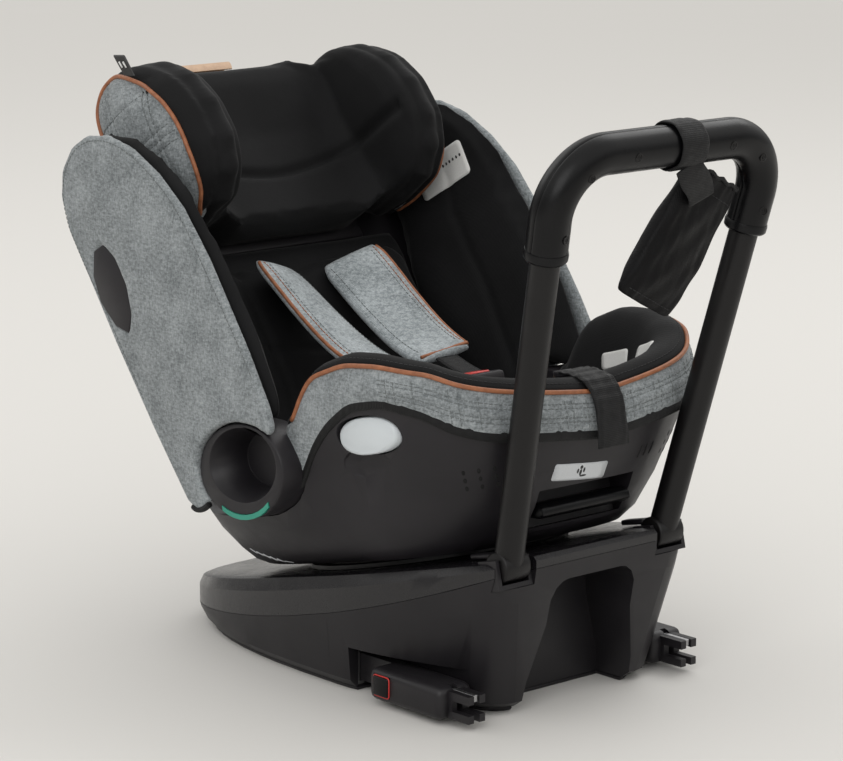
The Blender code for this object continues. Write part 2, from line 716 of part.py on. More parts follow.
PANEL = [(-0.052, 0.104), (-0.062, 0.120), (-0.068, 0.200), (-0.072, 0.300), (-0.073, 0.430), (-0.064, 0.465),
         (-0.045, 0.486), (-0.018, 0.496), (0.010, 0.493), (0.040, 0.476), (0.066, 0.447), (0.088, 0.405),
         (0.102, 0.360), (0.108, 0.300), (0.108, 0.200), (0.104, 0.140), (0.098, 0.118)]
PANEL_IN = 0.2145

for label, hand in SIDES:
    cover = solid("side_cover_" + label, upright_plate(PANEL, hand * PANEL_IN, hand * SEAT_HALF_WIDTH),
                  "grey_fabric", recline_axis)
    round_edges(cover, 0.004)
    boolean(cover, side_plate(cup_outline(CUP_CLEARANCE), hand * 0.19, hand * 0.24))
    # Leaf-shaped side pod, lying in the panel's outer face and hinged at its rear edge.
    leaf = [(-0.067, 0.345), (-0.062, 0.372), (-0.046, 0.392), (-0.028, 0.390), (-0.018, 0.368),
            (-0.018, 0.338), (-0.028, 0.312), (-0.044, 0.298), (-0.059, 0.314)]
    wider = [(-0.042 + (u + 0.042) * 1.05, 0.345 + (v - 0.345) * 1.03) for u, v in leaf]
    boolean(cover, upright_plate(wider, hand * 0.2195, hand * 0.24))
    pod_axis = holder("side_pod_axis_" + label, back(hand * 0.2225, -0.0655, 0.345), recline_axis)
    pod = solid("side_pod_" + label, upright_plate(leaf, hand * 0.2205, hand * 0.2255), "shell_plastic",
                pod_axis)
    round_edges(pod, 0.0015)

# Wings: the black padding inside each side cover, thick below and thin beside the headrest.
WING_FRONT = [(0.132, 0.102), (0.150, 0.110), (0.22, 0.120), (0.32, 0.119), (0.385, 0.110), (0.43, 0.091),
              (0.466, 0.066), (0.49, 0.037), (0.502, 0.000)]
WING_INNER = [(0.125, 0.150), (0.30, 0.152), (0.352, 0.178), (0.50, 0.182)]
for label, hand in SIDES:
    rings = []
    for b_at, _ in WING_FRONT:
        front = table(WING_FRONT, b_at)
        inner = table(WING_INNER, b_at)
        outer = PANEL_IN - 0.0006
        mid = inner + (outer - inner) * 0.45
        section = [(outer, -0.064), (outer, front - 0.018), (outer - 0.006, front - 0.005),
                   (outer - 0.014, front), (mid + 0.004, front * 0.72 - 0.012), (inner + 0.004, -0.010),
                   (inner, -0.040), (inner, -0.064)]
        rings.append([back(hand * x, p, b_at) for x, p in section])
    wing = pad("wing_pad_" + label, rings, "black_fabric", recline_axis)
    boolean(wing, side_plate(cup_outline(CUP_CLEARANCE), hand * 0.178, hand * 0.24))

BACK_PAD_LEVELS = ((0.118, 0.135, -0.026), (0.135, 0.146, -0.018), (0.22, 0.147, -0.022),
                   (0.33, 0.147, -0.028), (0.352, 0.140, -0.034))
back_pad_rings = []
for b_at, half, front in BACK_PAD_LEVELS:
    line = [(half, -0.0430), (half, front + 0.006), (half * 0.93, front + 0.012), (0.0, front),
            (-half * 0.93, front + 0.012), (-half, front + 0.006), (-half, -0.0430)]
    back_pad_rings.append([back(x, p, b_at) for x, p in line])
pad("back_cushion", back_pad_rings, "black_fabric", recline_axis)


# ---------------------------------------------------------------- seat pan, rim and guides
def pan_ring(scale, f_front, h_front, h_rear):
    """A ring of the seat cushion."""
    points = []
    for u, v in ellipse(0.0, 0.0, 1.0, 1.0, 32, 3.0):
        f = 0.080 + v * (f_front - 0.080)
        h = h_rear + (h_front - h_rear) * (f + 0.03) / 0.24
        points.append(seat(u * 0.139 * scale, f, h))
    return points


pad("seat_cushion", [pan_ring(0.93, 0.197, 0.1015, 0.1015), pan_ring(1.0, 0.202, 0.112, 0.110),
                     pan_ring(1.0, 0.202, 0.134, 0.120), pan_ring(0.90, 0.192, 0.146, 0.130)], "black_fabric",
    recline_axis)

RIM_COUNT = 31
RIM_TURN = math.radians(97.0)
PIPING_SIDE = [(0.045, 0.150), (0.060, 0.172), (0.082, 0.192), (0.130, 0.200), (0.169, 0.195), (0.207, 0.183),
               (0.262, 0.168)]


def rim_section(share):
    """Section of the rim: fabric outside down to the trim line, round on top, sloping into the seat."""
    turn = RIM_TURN * (2.0 * share - 1.0)
    x, f = plan(turn, SHELL_HALF_WIDTH, 0.254, 0.190)
    low = trim_height(x, f) + 0.0022
    x, f = plan(turn, SHELL_HALF_WIDTH, 0.260, 0.190)
    front = (1.0 - min(abs(x) / 0.165, 1.0)) ** 0.6
    piping = table(PIPING_SIDE, f)
    piping += (0.140 - piping) * front
    top = piping + 0.007 * (1.0 - front) + 0.012 * front
    edge = Vector((x, f))
    inwards = (Vector((x * 0.25, min(f, 0.085 + (f - 0.085) * 0.25))) - edge).normalized()
    points = []
    for step, h in ((0.000, low), (-0.003, (low + piping) * 0.5), (0.000, piping), (0.012, top),
                    (0.026, top - 0.002), (0.044, piping - 0.020), (0.0515, 0.135 - 0.004 * front),
                    (0.0515, 0.116), (0.024, max(0.104, low))):
        spot = edge + inwards * step
        points.append(seat(spot.x, spot.y, h))
    return points


rim = pad("seat_rim", [rim_section(i / (RIM_COUNT - 1)) for i in range(RIM_COUNT)], "grey_fabric",
          recline_axis)
for _, hand in SIDES:
    boolean(rim, side_plate(cup_outline(CUP_CLEARANCE * 2.0), hand * 0.160, hand * 0.24))


CUP_BORE = ((0.2300, -0.009, 0.1175, 0.0550, 0.0390), (0.2150, -0.008, 0.1185, 0.0465, 0.0330),
            (0.2040, -0.006, 0.1200, 0.0410, 0.0295), (0.1870, -0.006, 0.1200, 0.0395, 0.0280))


def cup_bore_ring(side, level):
    """One level of the cup's funnel: half-width across the seat, middle (f, h) and half sizes."""
    x_at, f, h, half_f, half_h = level
    return [seat(side * x_at, u, v) for u, v in ellipse(f, h, half_f, half_h, 32)]


def belt_guide(name, side):
    """Cup between side cover and rim that the lap belt's slack hangs in, with a coloured marker."""
    boolean(shell, side_plate(cup_outline(CUP_CLEARANCE), side * 0.1785, side * 0.24))
    inner = side * 0.1795
    outer = side * 0.2235
    cup = solid("belt_guide_" + name, side_plate(cup_outline(0.0), inner, outer), "shell_plastic",
                recline_axis)
    round_edges(cup, 0.003)
    boolean(cup, skin([cup_bore_ring(side, level) for level in CUP_BORE]))
    stripe = arc(*CUP_CENTRE, 0.0412, 228.0, 312.0, 8)
    stripe = [(CUP_CENTRE[0] + (u - CUP_CENTRE[0]) * 1.32, v) for u, v in stripe]
    lower = [(u, v - 0.0058) for u, v in reversed(stripe)]
    boolean(cup, side_plate(stripe + lower, side * 0.2210, side * 0.24))
    trimmed = [(u * 0.985 - 0.0002, v - 0.0004) for u, v in stripe] + [(u * 0.985 - 0.0002, v + 0.0004)
                                                                      for u, v in lower]
    solid("belt_marker_" + name, side_plate(trimmed, side * 0.2214, side * 0.2242), "marker_teal",
          recline_axis)


for label, hand in SIDES:
    belt_guide(label, hand)


# ---------------------------------------------------------------- harness
def strap(name, path, half_width, thickness, slot, parent, rolls=(0.0, 0.0)):
    """A flat strap along points (f, h), centred on x, and rolled about its line between two angles."""
    x_at, line = path
    rings = []
    last_up = Vector((0.0, 1.0))
    for i, (f, h) in enumerate(line):
        f_next, h_next = line[min(i + 1, len(line) - 1)]
        f_last, h_last = line[max(i - 1, 0)]
        along = Vector((f_next - f_last, h_next - h_last)).normalized()
        up = Vector((-along.y, along.x))
        if up.dot(last_up) < 0.0:
            up = -up
        last_up = up
        share = i / (len(line) - 1)
        roll = rolls[0] + (rolls[1] - rolls[0]) * share
        ring = []
        for u, v in ((-half_width, -0.5), (half_width, -0.5), (half_width, 0.5), (-half_width, 0.5)):
            side = u * math.cos(roll) - v * thickness * math.sin(roll)
            lift = u * math.sin(roll) + v * thickness * math.cos(roll)
            ring.append(seat(x_at(share) + side, f + up.x * lift, h + up.y * lift))
        rings.append(ring)
    return solid(name, skin(rings), slot, parent)


for label, hand in SIDES:
    pad_line = [(-0.133, 0.302), (-0.109, 0.278), (-0.077, 0.2455), (-0.0445, 0.2165), (-0.018, 0.1985)]
    pad_rolls = (hand * math.radians(22.0), hand * math.radians(7.0))
    shoulder_pad = strap("shoulder_pad_" + label, (lambda s, hand=hand: hand * (0.050 - 0.007 * s), pad_line),
                         0.0355, 0.015, "grey_fabric", recline_axis, pad_rolls)
    round_edges(shoulder_pad, 0.005, 3)
    belt_line = [(-0.011, 0.1925), (0.015, 0.182), (0.042, 0.172), (0.062, 0.167)]
    strap("shoulder_strap_" + label, (lambda s, hand=hand: hand * (0.048 - 0.020 * s), belt_line),
          0.0145, 0.003, "webbing", recline_axis)

buckle = solid("buckle_body", block((-0.024, 0.0635, 0.1475), (0.024, 0.108, 0.170), seat), "shell_plastic",
               recline_axis)
round_edges(buckle, 0.004, 2)
boolean(buckle, block((-0.0135, 0.0775, 0.161), (0.0135, 0.0995, 0.180), seat))
button_slide = holder("buckle_button_slide", seat(0.0, 0.0885, 0.170), recline_axis)
button = solid("buckle_button", block((-0.0125, 0.0785, 0.1655), (0.0125, 0.0985, 0.1715), seat), "button_red",
               button_slide)
round_edges(button, 0.0015)
crotch = solid("crotch_pad", block((-0.030, 0.060, 0.1405), (0.030, 0.126, 0.1468), seat), "black_fabric",
               recline_axis)
round_edges(crotch, 0.003, 2)

# Harness adjuster: a press button in the seat's front, under a flap that hangs over the rim.
flap_line = [(0.232, 0.1600), (0.250, 0.1560), (0.2625, 0.147), (0.2685, 0.132), (0.2685, 0.110),
             (0.2660, 0.088)]
strap("adjuster_flap", (lambda s: 0.0, flap_line), 0.0195, 0.0028, "webbing", recline_axis)
adjuster_slide = holder("harness_adjuster_slide", seat(0.0, 0.215, 0.160), recline_axis)
adjuster_end = seat(0.0, 0.214, 0.1640)
adjuster = solid("harness_adjuster_button", round_rod(seat(0.0, 0.214, 0.1575), adjuster_end, 0.0095, 24),
                 "shell_plastic", adjuster_slide)
round_edges(adjuster, 0.0012)


# ---------------------------------------------------------------- headrest
head_plate = [(-0.120, -0.0560), (0.120, -0.0560), (0.120, -0.0465), (-0.120, -0.0465)]
head_shell = solid("headrest_shell", skin([[back(x, p, b_at) for x, p in head_plate]
                                           for b_at in (0.368, 0.44, 0.556)]), "shell_plastic", headrest_slide)
round_edges(head_shell, 0.003)
for label, hand in SIDES:
    rod = round_rod(back(hand * 0.055, -0.0513, 0.150), back(hand * 0.055, -0.0513, 0.3675), 0.0045, 14)
    solid("headrest_rod_" + label, rod, "steel", headrest_slide)

HEAD_LEVELS = ((0.366, 0.085, 0.000, -0.040), (0.376, 0.104, 0.010, -0.045), (0.42, 0.108, 0.000, -0.045),
               (0.48, 0.108, -0.010, -0.045), (0.540, 0.108, -0.006, -0.045), (0.563, 0.100, -0.010, -0.042),
               (0.573, 0.080, -0.020, -0.036))
head_rings = []
for b_at, half, front, rear in HEAD_LEVELS:
    line = [(half, rear), (half, front + 0.016), (half * 0.8, front + 0.004), (0.0, front),
            (-half * 0.8, front + 0.004), (-half, front + 0.016), (-half, rear), (0.0, rear)]
    head_rings.append([back(x, p, b_at) for x, p in line])
pad("headrest_cushion", head_rings, "black_fabric", headrest_slide)

HEAD_WING = [(-0.044, 0.385), (-0.046, 0.430), (-0.044, 0.520), (-0.032, 0.556), (-0.008, 0.571),
             (0.026, 0.568), (0.060, 0.550), (0.092, 0.515), (0.109, 0.475), (0.112, 0.430), (0.097, 0.395),
             (0.066, 0.372), (0.015, 0.368), (-0.030, 0.372)]
HEAD_WING_MIDDLE = Vector((0.022, 0.470))
HEAD_WING_LEVELS = ((0.1085, 0.84, -0.004), (0.1150, 0.95, 0.0), (0.1280, 1.0, 0.0), (0.1450, 0.985, -0.002),
                    (0.1620, 0.90, -0.010), (0.1695, 0.74, -0.016))


def wing_outline(scale, forward):
    """Outline of a headrest wing, shrunk about its middle and moved forwards."""
    shrunk = [HEAD_WING_MIDDLE + (Vector(spot) - HEAD_WING_MIDDLE) * scale for spot in HEAD_WING]
    return [(spot.x + forward, spot.y) for spot in shrunk]


for label, hand in SIDES:
    rings = []
    for x_at, scale, forward in HEAD_WING_LEVELS:
        rings.append([back(hand * x_at, p, b) for p, b in wing_outline(scale, forward)])
    pad("headrest_wing_" + label, rings, "grey_fabric", headrest_slide)

handle_pivot = holder("headrest_handle_axis", back(0.0, -0.052, 0.558), headrest_slide)
lever = solid("headrest_handle", block((-0.030, -0.0600, 0.5595), (0.030, -0.0465, 0.5770), back),
              "accent_leather", handle_pivot)
round_edges(lever, 0.003)
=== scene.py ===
"""Looks of the car seat: fabric, trim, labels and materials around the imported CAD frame.

Three sets of coordinates place the pieces, and each has a function that gives a world point in metres:
  seat(x, f, h)   f runs forwards along the tilted deck and h straight up from it
  back(x, p, b)   b runs up the leaning backrest and p forwards from it
  bar(x, r, o)    r rises along the rebound bar's plane and o points out of it, away from the child
"""
import json
import math

import bmesh
import bpy
import numpy as np
from mathutils import Matrix, Vector
from mathutils.bvhtree import BVHTree


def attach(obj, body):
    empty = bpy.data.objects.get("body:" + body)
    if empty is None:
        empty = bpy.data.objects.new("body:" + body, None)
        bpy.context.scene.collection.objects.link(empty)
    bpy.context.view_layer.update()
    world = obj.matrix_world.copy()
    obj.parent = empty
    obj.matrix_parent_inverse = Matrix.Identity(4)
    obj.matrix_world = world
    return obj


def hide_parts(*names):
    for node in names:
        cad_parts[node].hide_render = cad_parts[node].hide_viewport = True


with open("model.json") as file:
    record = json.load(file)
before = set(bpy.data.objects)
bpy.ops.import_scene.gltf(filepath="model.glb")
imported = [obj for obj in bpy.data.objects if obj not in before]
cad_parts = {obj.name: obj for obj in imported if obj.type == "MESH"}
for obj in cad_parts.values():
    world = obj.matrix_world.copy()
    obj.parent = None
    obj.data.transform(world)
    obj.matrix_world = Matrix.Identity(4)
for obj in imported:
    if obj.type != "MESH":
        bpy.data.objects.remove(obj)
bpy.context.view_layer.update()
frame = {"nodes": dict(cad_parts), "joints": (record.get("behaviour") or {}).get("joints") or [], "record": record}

SIDES = (("left", -1.0), ("right", 1.0))
X_AXIS = Vector((1.0, 0.0, 0.0))

# ---------------------------------------------------------------- frames
joints = {joint["name"]: joint for joint in frame["joints"]}
DECK_CENTRE = Vector(joints["seat_rotation"]["pos_m"])
DECK_UP = Vector(joints["seat_rotation"]["axis"])
DECK_FORWARD = Vector((0.0, -DECK_UP.z, DECK_UP.y))
BACK_UP = Vector(joints["headrest_slide"]["axis"])
BACK_FORWARD = Vector((0.0, -BACK_UP.z, BACK_UP.y))
BAR_PIVOT = Vector(joints["rebound_bar_fold"]["pos_m"])
BAR_LEAN = math.radians(26.8)
BAR_UP = DECK_FORWARD * math.sin(BAR_LEAN) + DECK_UP * math.cos(BAR_LEAN)
BAR_OUT = DECK_FORWARD * math.cos(BAR_LEAN) - DECK_UP * math.sin(BAR_LEAN)


def seat(x, f, h):
    """World point on the seat."""
    return DECK_CENTRE + X_AXIS * x + DECK_FORWARD * f + DECK_UP * h


def back(x, p, b):
    """World point on the backrest."""
    return DECK_CENTRE + X_AXIS * x + BACK_FORWARD * p + BACK_UP * b


def bar(x, rise, out=0.0):
    """World point in the rebound bar's plane."""
    return BAR_PIVOT + X_AXIS * x + BAR_UP * rise + BAR_OUT * out


# ---------------------------------------------------------------- camera, floor and light
VIEW_TARGET = Vector((0.0, 0.10, 0.30))
VIEW_AZIMUTH = math.radians(-41.0)
VIEW_ELEVATION = math.radians(11.128)
VIEW_DISTANCE = 3.3635


def add_camera():
    """Camera at the reference viewing angle, with a small shift for the framing."""
    flat = math.cos(VIEW_ELEVATION)
    behind = Vector((math.sin(VIEW_AZIMUTH) * flat, -math.cos(VIEW_AZIMUTH) * flat, math.sin(VIEW_ELEVATION)))
    data = bpy.data.cameras.new("camera")
    data.sensor_width = 36.0
    data.lens = 142.58
    data.shift_x = 0.0561
    data.shift_y = -0.0401
    data.clip_end = 100.0
    camera = bpy.data.objects.new("camera", data)
    camera.location = VIEW_TARGET + behind * VIEW_DISTANCE
    camera.rotation_euler = (-behind).to_track_quat("-Z", "Y").to_euler()
    bpy.context.scene.collection.objects.link(camera)
    bpy.context.scene.camera = camera


def add_area(name, place, aim, size, power):
    """A square soft light at a place, turned towards a point."""
    data = bpy.data.lights.new(name, "AREA")
    data.size = size
    data.energy = power
    light = bpy.data.objects.new(name, data)
    light.location = place
    light.rotation_euler = (Vector(aim) - Vector(place)).to_track_quat("-Z", "Y").to_euler()
    bpy.context.scene.collection.objects.link(light)


# ---------------------------------------------------------------- materials
class Paint:
    """A Principled material put together node by node, in the piece's own coordinates."""

    def __init__(self, name, colour, roughness, metallic=0.0, **sockets):
        self.material = bpy.data.materials.new(name)
        self.material.use_nodes = True
        self.tree = self.material.node_tree
        self.shader = self.tree.nodes["Principled BSDF"]
        self.shader.inputs["Base Color"].default_value = (*colour, 1.0)
        self.shader.inputs["Roughness"].default_value = roughness
        self.shader.inputs["Metallic"].default_value = metallic
        for socket, value in sockets.items():
            self.shader.inputs[socket.replace("_", " ")].default_value = value
        self.place = self.node("ShaderNodeTexCoord").outputs["Object"]
        self.normal = None

    def put(self, value, socket):
        """Set a socket to a value, or link another socket to it."""
        if isinstance(value, bpy.types.NodeSocket):
            self.tree.links.new(value, socket)
        else:
            socket.default_value = value

    def node(self, kind, **values):
        """Add a node. Values that name a socket set it, and the rest are the node's own settings."""
        made = self.tree.nodes.new(kind)
        for key, value in values.items():
            socket = made.inputs.get(key.replace("_", " "))
            if socket is None:
                setattr(made, key, value)
            else:
                self.put(value, socket)
        return made

    def noise(self, scale, detail=4.0, roughness=0.6, stretch=(1.0, 1.0, 1.0)):
        """Noise over the piece: scale is features to a metre."""
        place = self.node("ShaderNodeMapping", Vector=self.place, Scale=stretch).outputs["Vector"]
        made = self.node("ShaderNodeTexNoise", Vector=place, Scale=scale, Detail=detail, Roughness=roughness)
        return made.outputs["Fac"]

    def bands(self, pitch, direction, distortion=0.6):
        """Parallel ridges with a pitch in metres."""
        made = self.node("ShaderNodeTexWave", Vector=self.place, Scale=math.pi / (10.0 * pitch),
                         Distortion=distortion, wave_type="BANDS", bands_direction=direction)
        return made.outputs["Fac"]

    def spread(self, value, low, high, to_low=0.0, to_high=1.0):
        """Map a value's useful range onto another one."""
        made = self.node("ShaderNodeMapRange", Value=value, From_Min=low, From_Max=high, To_Min=to_low,
                         To_Max=to_high)
        return made.outputs["Result"]

    def sum(self, first, second, operation="ADD"):
        """Arithmetic on two values."""
        made = self.node("ShaderNodeMath", operation=operation)
        self.put(first, made.inputs[0])
        self.put(second, made.inputs[1])
        return made.outputs[0]

    def blend(self, factor, first, second):
        """Mix two colours, each a socket or three numbers."""
        made = self.node("ShaderNodeMix", data_type="RGBA")
        for at, value in ((0, factor), (6, first), (7, second)):
            self.put((*value, 1.0) if isinstance(value, tuple) else value, made.inputs[at])
        return made.outputs[2]

    def colour(self, value):
        """Use a colour socket for the base colour."""
        self.tree.links.new(value, self.shader.inputs["Base Color"])

    def roughness(self, value):
        """Use a value socket for the roughness."""
        self.tree.links.new(value, self.shader.inputs["Roughness"])

    def bump(self, height, distance, strength=1.0):
        """Add relief of a depth in metres, over any relief added before."""
        made = self.node("ShaderNodeBump", Height=height, Distance=distance, Strength=strength)
        if self.normal is not None:
            self.tree.links.new(self.normal, made.inputs["Normal"])
        self.normal = made.outputs["Normal"]
        self.tree.links.new(self.normal, self.shader.inputs["Normal"])


def woven_cloth(name, dark, light, pitch, sheen):
    """Woven cloth: crossing yarns, colour that varies from yarn to yarn, and a soft sheen."""
    paint = Paint(name, light, 0.92, Sheen_Weight=sheen, Sheen_Roughness=0.45, Specular_IOR_Level=0.25)
    yarn = paint.noise(420.0, 6.0, 0.72, (1.0, 1.35, 0.55))
    cross_yarn = paint.noise(300.0, 5.0, 0.70, (0.6, 0.6, 1.6))
    broad = paint.noise(26.0, 3.0, 0.5)
    mottle = paint.sum(paint.sum(yarn, cross_yarn), paint.spread(broad, 0.3, 0.7, -0.10, 0.10))
    paint.colour(paint.blend(paint.spread(mottle, 0.78, 1.24), dark, light))
    weave = paint.sum(paint.bands(pitch, "Z"), paint.bands(pitch, "Y"), "MULTIPLY")
    weave = paint.sum(weave, paint.bands(pitch, "X"), "ADD")
    paint.bump(weave, 0.00025, 0.55)
    paint.bump(yarn, 0.0004, 0.5)
    paint.roughness(paint.spread(yarn, 0.3, 0.7, 0.82, 0.98))
    return paint.material


def fine_knit(name, dark, light):
    """Fine black knit over padding."""
    paint = Paint(name, dark, 0.80, Sheen_Weight=0.05, Sheen_Roughness=0.35, Specular_IOR_Level=0.22)
    grain = paint.noise(900.0, 5.0, 0.7)
    broad = paint.noise(14.0, 3.0, 0.5)
    paint.colour(paint.blend(paint.spread(paint.sum(grain, broad), 0.75, 1.30), dark, light))
    loops = paint.sum(paint.bands(0.0011, "Z", 0.3), paint.bands(0.0011, "X", 0.3), "MULTIPLY")
    paint.bump(loops, 0.00018, 0.5)
    paint.bump(paint.noise(38.0, 4.0, 0.55), 0.0012, 0.35)
    paint.roughness(paint.spread(grain, 0.3, 0.7, 0.70, 0.88))
    return paint.material


def webbing(name, dark, light, pitch):
    """Tightly woven nylon strap."""
    paint = Paint(name, dark, 0.62, Sheen_Weight=0.04, Specular_IOR_Level=0.28)
    ribs = paint.sum(paint.bands(pitch, "Z", 0.2), paint.bands(pitch * 0.7, "X", 0.2), "MULTIPLY")
    paint.colour(paint.blend(ribs, dark, light))
    paint.bump(ribs, 0.0003, 0.8)
    paint.roughness(paint.spread(paint.noise(160.0), 0.3, 0.7, 0.50, 0.72))
    return paint.material


def nylon(name, dark, light):
    """Thin ripstop nylon with small wrinkles, its colour darker in their hollows and lighter on their crests as
    painted shade and painted highlight.
    """
    paint = Paint(name, dark, 0.50, Sheen_Weight=0.01, Specular_IOR_Level=0.16)
    grid = paint.sum(paint.bands(0.0016, "Z", 0.2), paint.bands(0.0016, "X", 0.2), "ADD")
    crease_relief_and_shade = paint.noise(45.0, 5.0, 0.6)
    # Painted shade and painted highlight: the colour follows the wrinkle relief.
    paint.colour(paint.blend(paint.spread(crease_relief_and_shade, 0.35, 0.65), dark, light))
    paint.bump(grid, 0.00012, 0.5)
    paint.bump(crease_relief_and_shade, 0.0022, 0.7)
    paint.roughness(paint.spread(crease_relief_and_shade, 0.3, 0.7, 0.42, 0.62))
    return paint.material


def plastic(name, dark, light, roughness, grain_depth, **sockets):
    """Moulded plastic: fine spark-eroded grain, slight flow variation and a little handling wear."""
    paint = Paint(name, dark, roughness, **sockets)
    grain = paint.noise(1500.0, 3.0, 0.6)
    flow = paint.noise(9.0, 4.0, 0.55, (1.0, 1.0, 2.2))
    smudge = paint.noise(34.0, 6.0, 0.65)
    edge = paint.spread(paint.node("ShaderNodeNewGeometry").outputs["Pointiness"], 0.52, 0.60, 0.0, 0.35)
    worn = paint.sum(paint.spread(flow, 0.3, 0.7, 0.0, 0.6), edge)
    paint.colour(paint.blend(worn, dark, light))
    paint.roughness(paint.spread(paint.sum(smudge, grain), 0.7, 1.3, roughness - 0.07, roughness + 0.09))
    paint.bump(grain, grain_depth, 0.45)
    return paint.material


def metal(name, colour, roughness, stretch):
    """Drawn or plated steel with fine lines along it."""
    paint = Paint(name, colour, roughness, 1.0)
    lines = paint.noise(260.0, 5.0, 0.6, stretch)
    paint.roughness(paint.spread(lines, 0.3, 0.7, roughness - 0.08, roughness + 0.12))
    paint.colour(paint.blend(paint.spread(lines, 0.3, 0.7), tuple(0.8 * c for c in colour), colour))
    paint.bump(lines, 0.00008, 0.4)
    return paint.material


def powder_coat(name, colour, roughness):
    """Powder-coated steel with fine orange peel."""
    paint = Paint(name, colour, roughness, Specular_IOR_Level=0.34)
    peel = paint.noise(620.0, 3.0, 0.5)
    paint.roughness(paint.spread(paint.noise(30.0), 0.3, 0.7, roughness - 0.05, roughness + 0.08))
    paint.colour(paint.blend(paint.spread(peel, 0.3, 0.7), colour, tuple(1.35 * c for c in colour)))
    paint.bump(peel, 0.00022, 0.5)
    return paint.material


def leather(name, dark, light):
    """Smooth leather binding with fine pores."""
    paint = Paint(name, light, 0.48, Specular_IOR_Level=0.4)
    pores = paint.node("ShaderNodeTexVoronoi", Vector=paint.place, Scale=700.0).outputs["Distance"]
    tone = paint.noise(120.0, 5.0, 0.6)
    paint.colour(paint.blend(paint.spread(tone, 0.3, 0.7), dark, light))
    paint.bump(pores, 0.00020, 0.5)
    paint.roughness(paint.spread(tone, 0.3, 0.7, 0.40, 0.60))
    return paint.material


def printed(name, colour, roughness=0.45):
    """A plain printed label or tag."""
    paint = Paint(name, colour, roughness)
    fibres = paint.noise(900.0, 3.0)
    paint.colour(paint.blend(paint.spread(fibres, 0.3, 0.7), tuple(0.90 * c for c in colour), colour))
    paint.roughness(paint.spread(paint.noise(200.0), 0.3, 0.7, roughness - 0.06, roughness + 0.10))
    paint.bump(fibres, 0.00005, 0.4)
    return paint.material


def floor_paint():
    """Pale matte studio floor."""
    paint = Paint("studio_floor", (0.70, 0.685, 0.66), 0.85, Specular_IOR_Level=0.2)
    paint.roughness(paint.spread(paint.noise(2.0), 0.3, 0.7, 0.80, 0.92))
    return paint.material


GREY_CLOTH = woven_cloth("grey_cloth", (0.128, 0.143, 0.149), (0.352, 0.378, 0.390), 0.0013, 0.18)
# A lighter copy of the grey cloth for the shoulder pads: painted light, standing for the stronger light on their
# upward faces.
PAINTED_LIGHT_GREY_CLOTH = woven_cloth("painted_light_grey_cloth", (0.19, 0.215, 0.225), (0.50, 0.54, 0.56), 0.0013, 0.18)
BLACK_CLOTH = fine_knit("black_cloth", (0.0042, 0.0042, 0.0046), (0.0090, 0.0090, 0.0098))
STRAP_CLOTH = webbing("strap_cloth", (0.0040, 0.0040, 0.0044), (0.013, 0.013, 0.014), 0.0016)
ELASTIC_CLOTH = webbing("elastic_cloth", (0.0035, 0.0035, 0.0038), (0.0085, 0.0085, 0.0090), 0.0009)
NYLON_CLOTH = nylon("nylon_cloth", (0.0014, 0.0013, 0.0016), (0.0036, 0.0034, 0.0040))
COPPER_LEATHER = leather("copper_leather", (0.23, 0.080, 0.034), (0.40, 0.155, 0.072))
TAN_LEATHER = leather("tan_leather", (0.46, 0.29, 0.18), (0.62, 0.43, 0.29))
GREY_THREAD = printed("grey_thread", (0.16, 0.175, 0.175), 0.8)
BLACK_THREAD = printed("black_thread", (0.030, 0.030, 0.032), 0.8)
WHITE_PRINT = printed("white_print", (0.78, 0.78, 0.76))
BLACK_PRINT = printed("black_print", (0.012, 0.012, 0.012))
GREY_PRINT = printed("grey_print", (0.60, 0.62, 0.64), 0.35)
# Near-black paint for vent openings and screw sockets: painted shade, standing for the shade inside them.
PAINTED_HOLE_SHADE = printed("painted_hole_shade", (0.004, 0.004, 0.004), 0.9)
BASE_PLASTIC = plastic("base_plastic_look", (0.0088, 0.0078, 0.0094), (0.0155, 0.0140, 0.0162), 0.42, 0.00010,
                       Specular_IOR_Level=0.38)
DECK_PLASTIC = plastic("deck_plastic_look", (0.0070, 0.0064, 0.0076), (0.0125, 0.0114, 0.0132), 0.26, 0.00004)
SHELL_PLASTIC = plastic("shell_plastic_look", (0.0100, 0.0088, 0.0108), (0.0172, 0.0152, 0.0182), 0.44,
                        0.00012, Specular_IOR_Level=0.38)
BAR_PLASTIC = plastic("bar_plastic_look", (0.0018, 0.0018, 0.0023), (0.0042, 0.0042, 0.0050), 0.31, 0.00005,
                      Specular_IOR_Level=0.24)
BUTTON_PLASTIC = plastic("button_plastic_look", (0.56, 0.60, 0.625), (0.66, 0.70, 0.725), 0.36, 0.00004)
RED_PLASTIC = plastic("red_plastic_look", (0.50, 0.020, 0.018), (0.60, 0.05, 0.04), 0.36, 0.00004)
TEAL_PLASTIC = plastic("teal_plastic_look", (0.018, 0.235, 0.165), (0.03, 0.30, 0.21), 0.42, 0.00005)
PLATED_STEEL = metal("plated_steel", (0.50, 0.50, 0.51), 0.32, (1.0, 1.0, 0.08))
BLACK_STEEL = powder_coat("black_steel_look", (0.0030, 0.0026, 0.0028), 0.40)

KEPT_LOOKS = {
    "base_plastic": BASE_PLASTIC, "deck_plastic": DECK_PLASTIC, "shell_plastic": SHELL_PLASTIC,
    "bar_plastic": BAR_PLASTIC, "black_steel": BLACK_STEEL, "steel": PLATED_STEEL,
    "grey_fabric": GREY_CLOTH, "black_fabric": BLACK_CLOTH, "webbing": STRAP_CLOTH,
    "button_grey": BUTTON_PLASTIC, "button_red": RED_PLASTIC, "marker_teal": TEAL_PLASTIC,
    "accent_leather": TAN_LEATHER,
}
SLOT_OF = {entry["node"]: entry["material_slot"] for entry in frame["record"]["subparts"]}


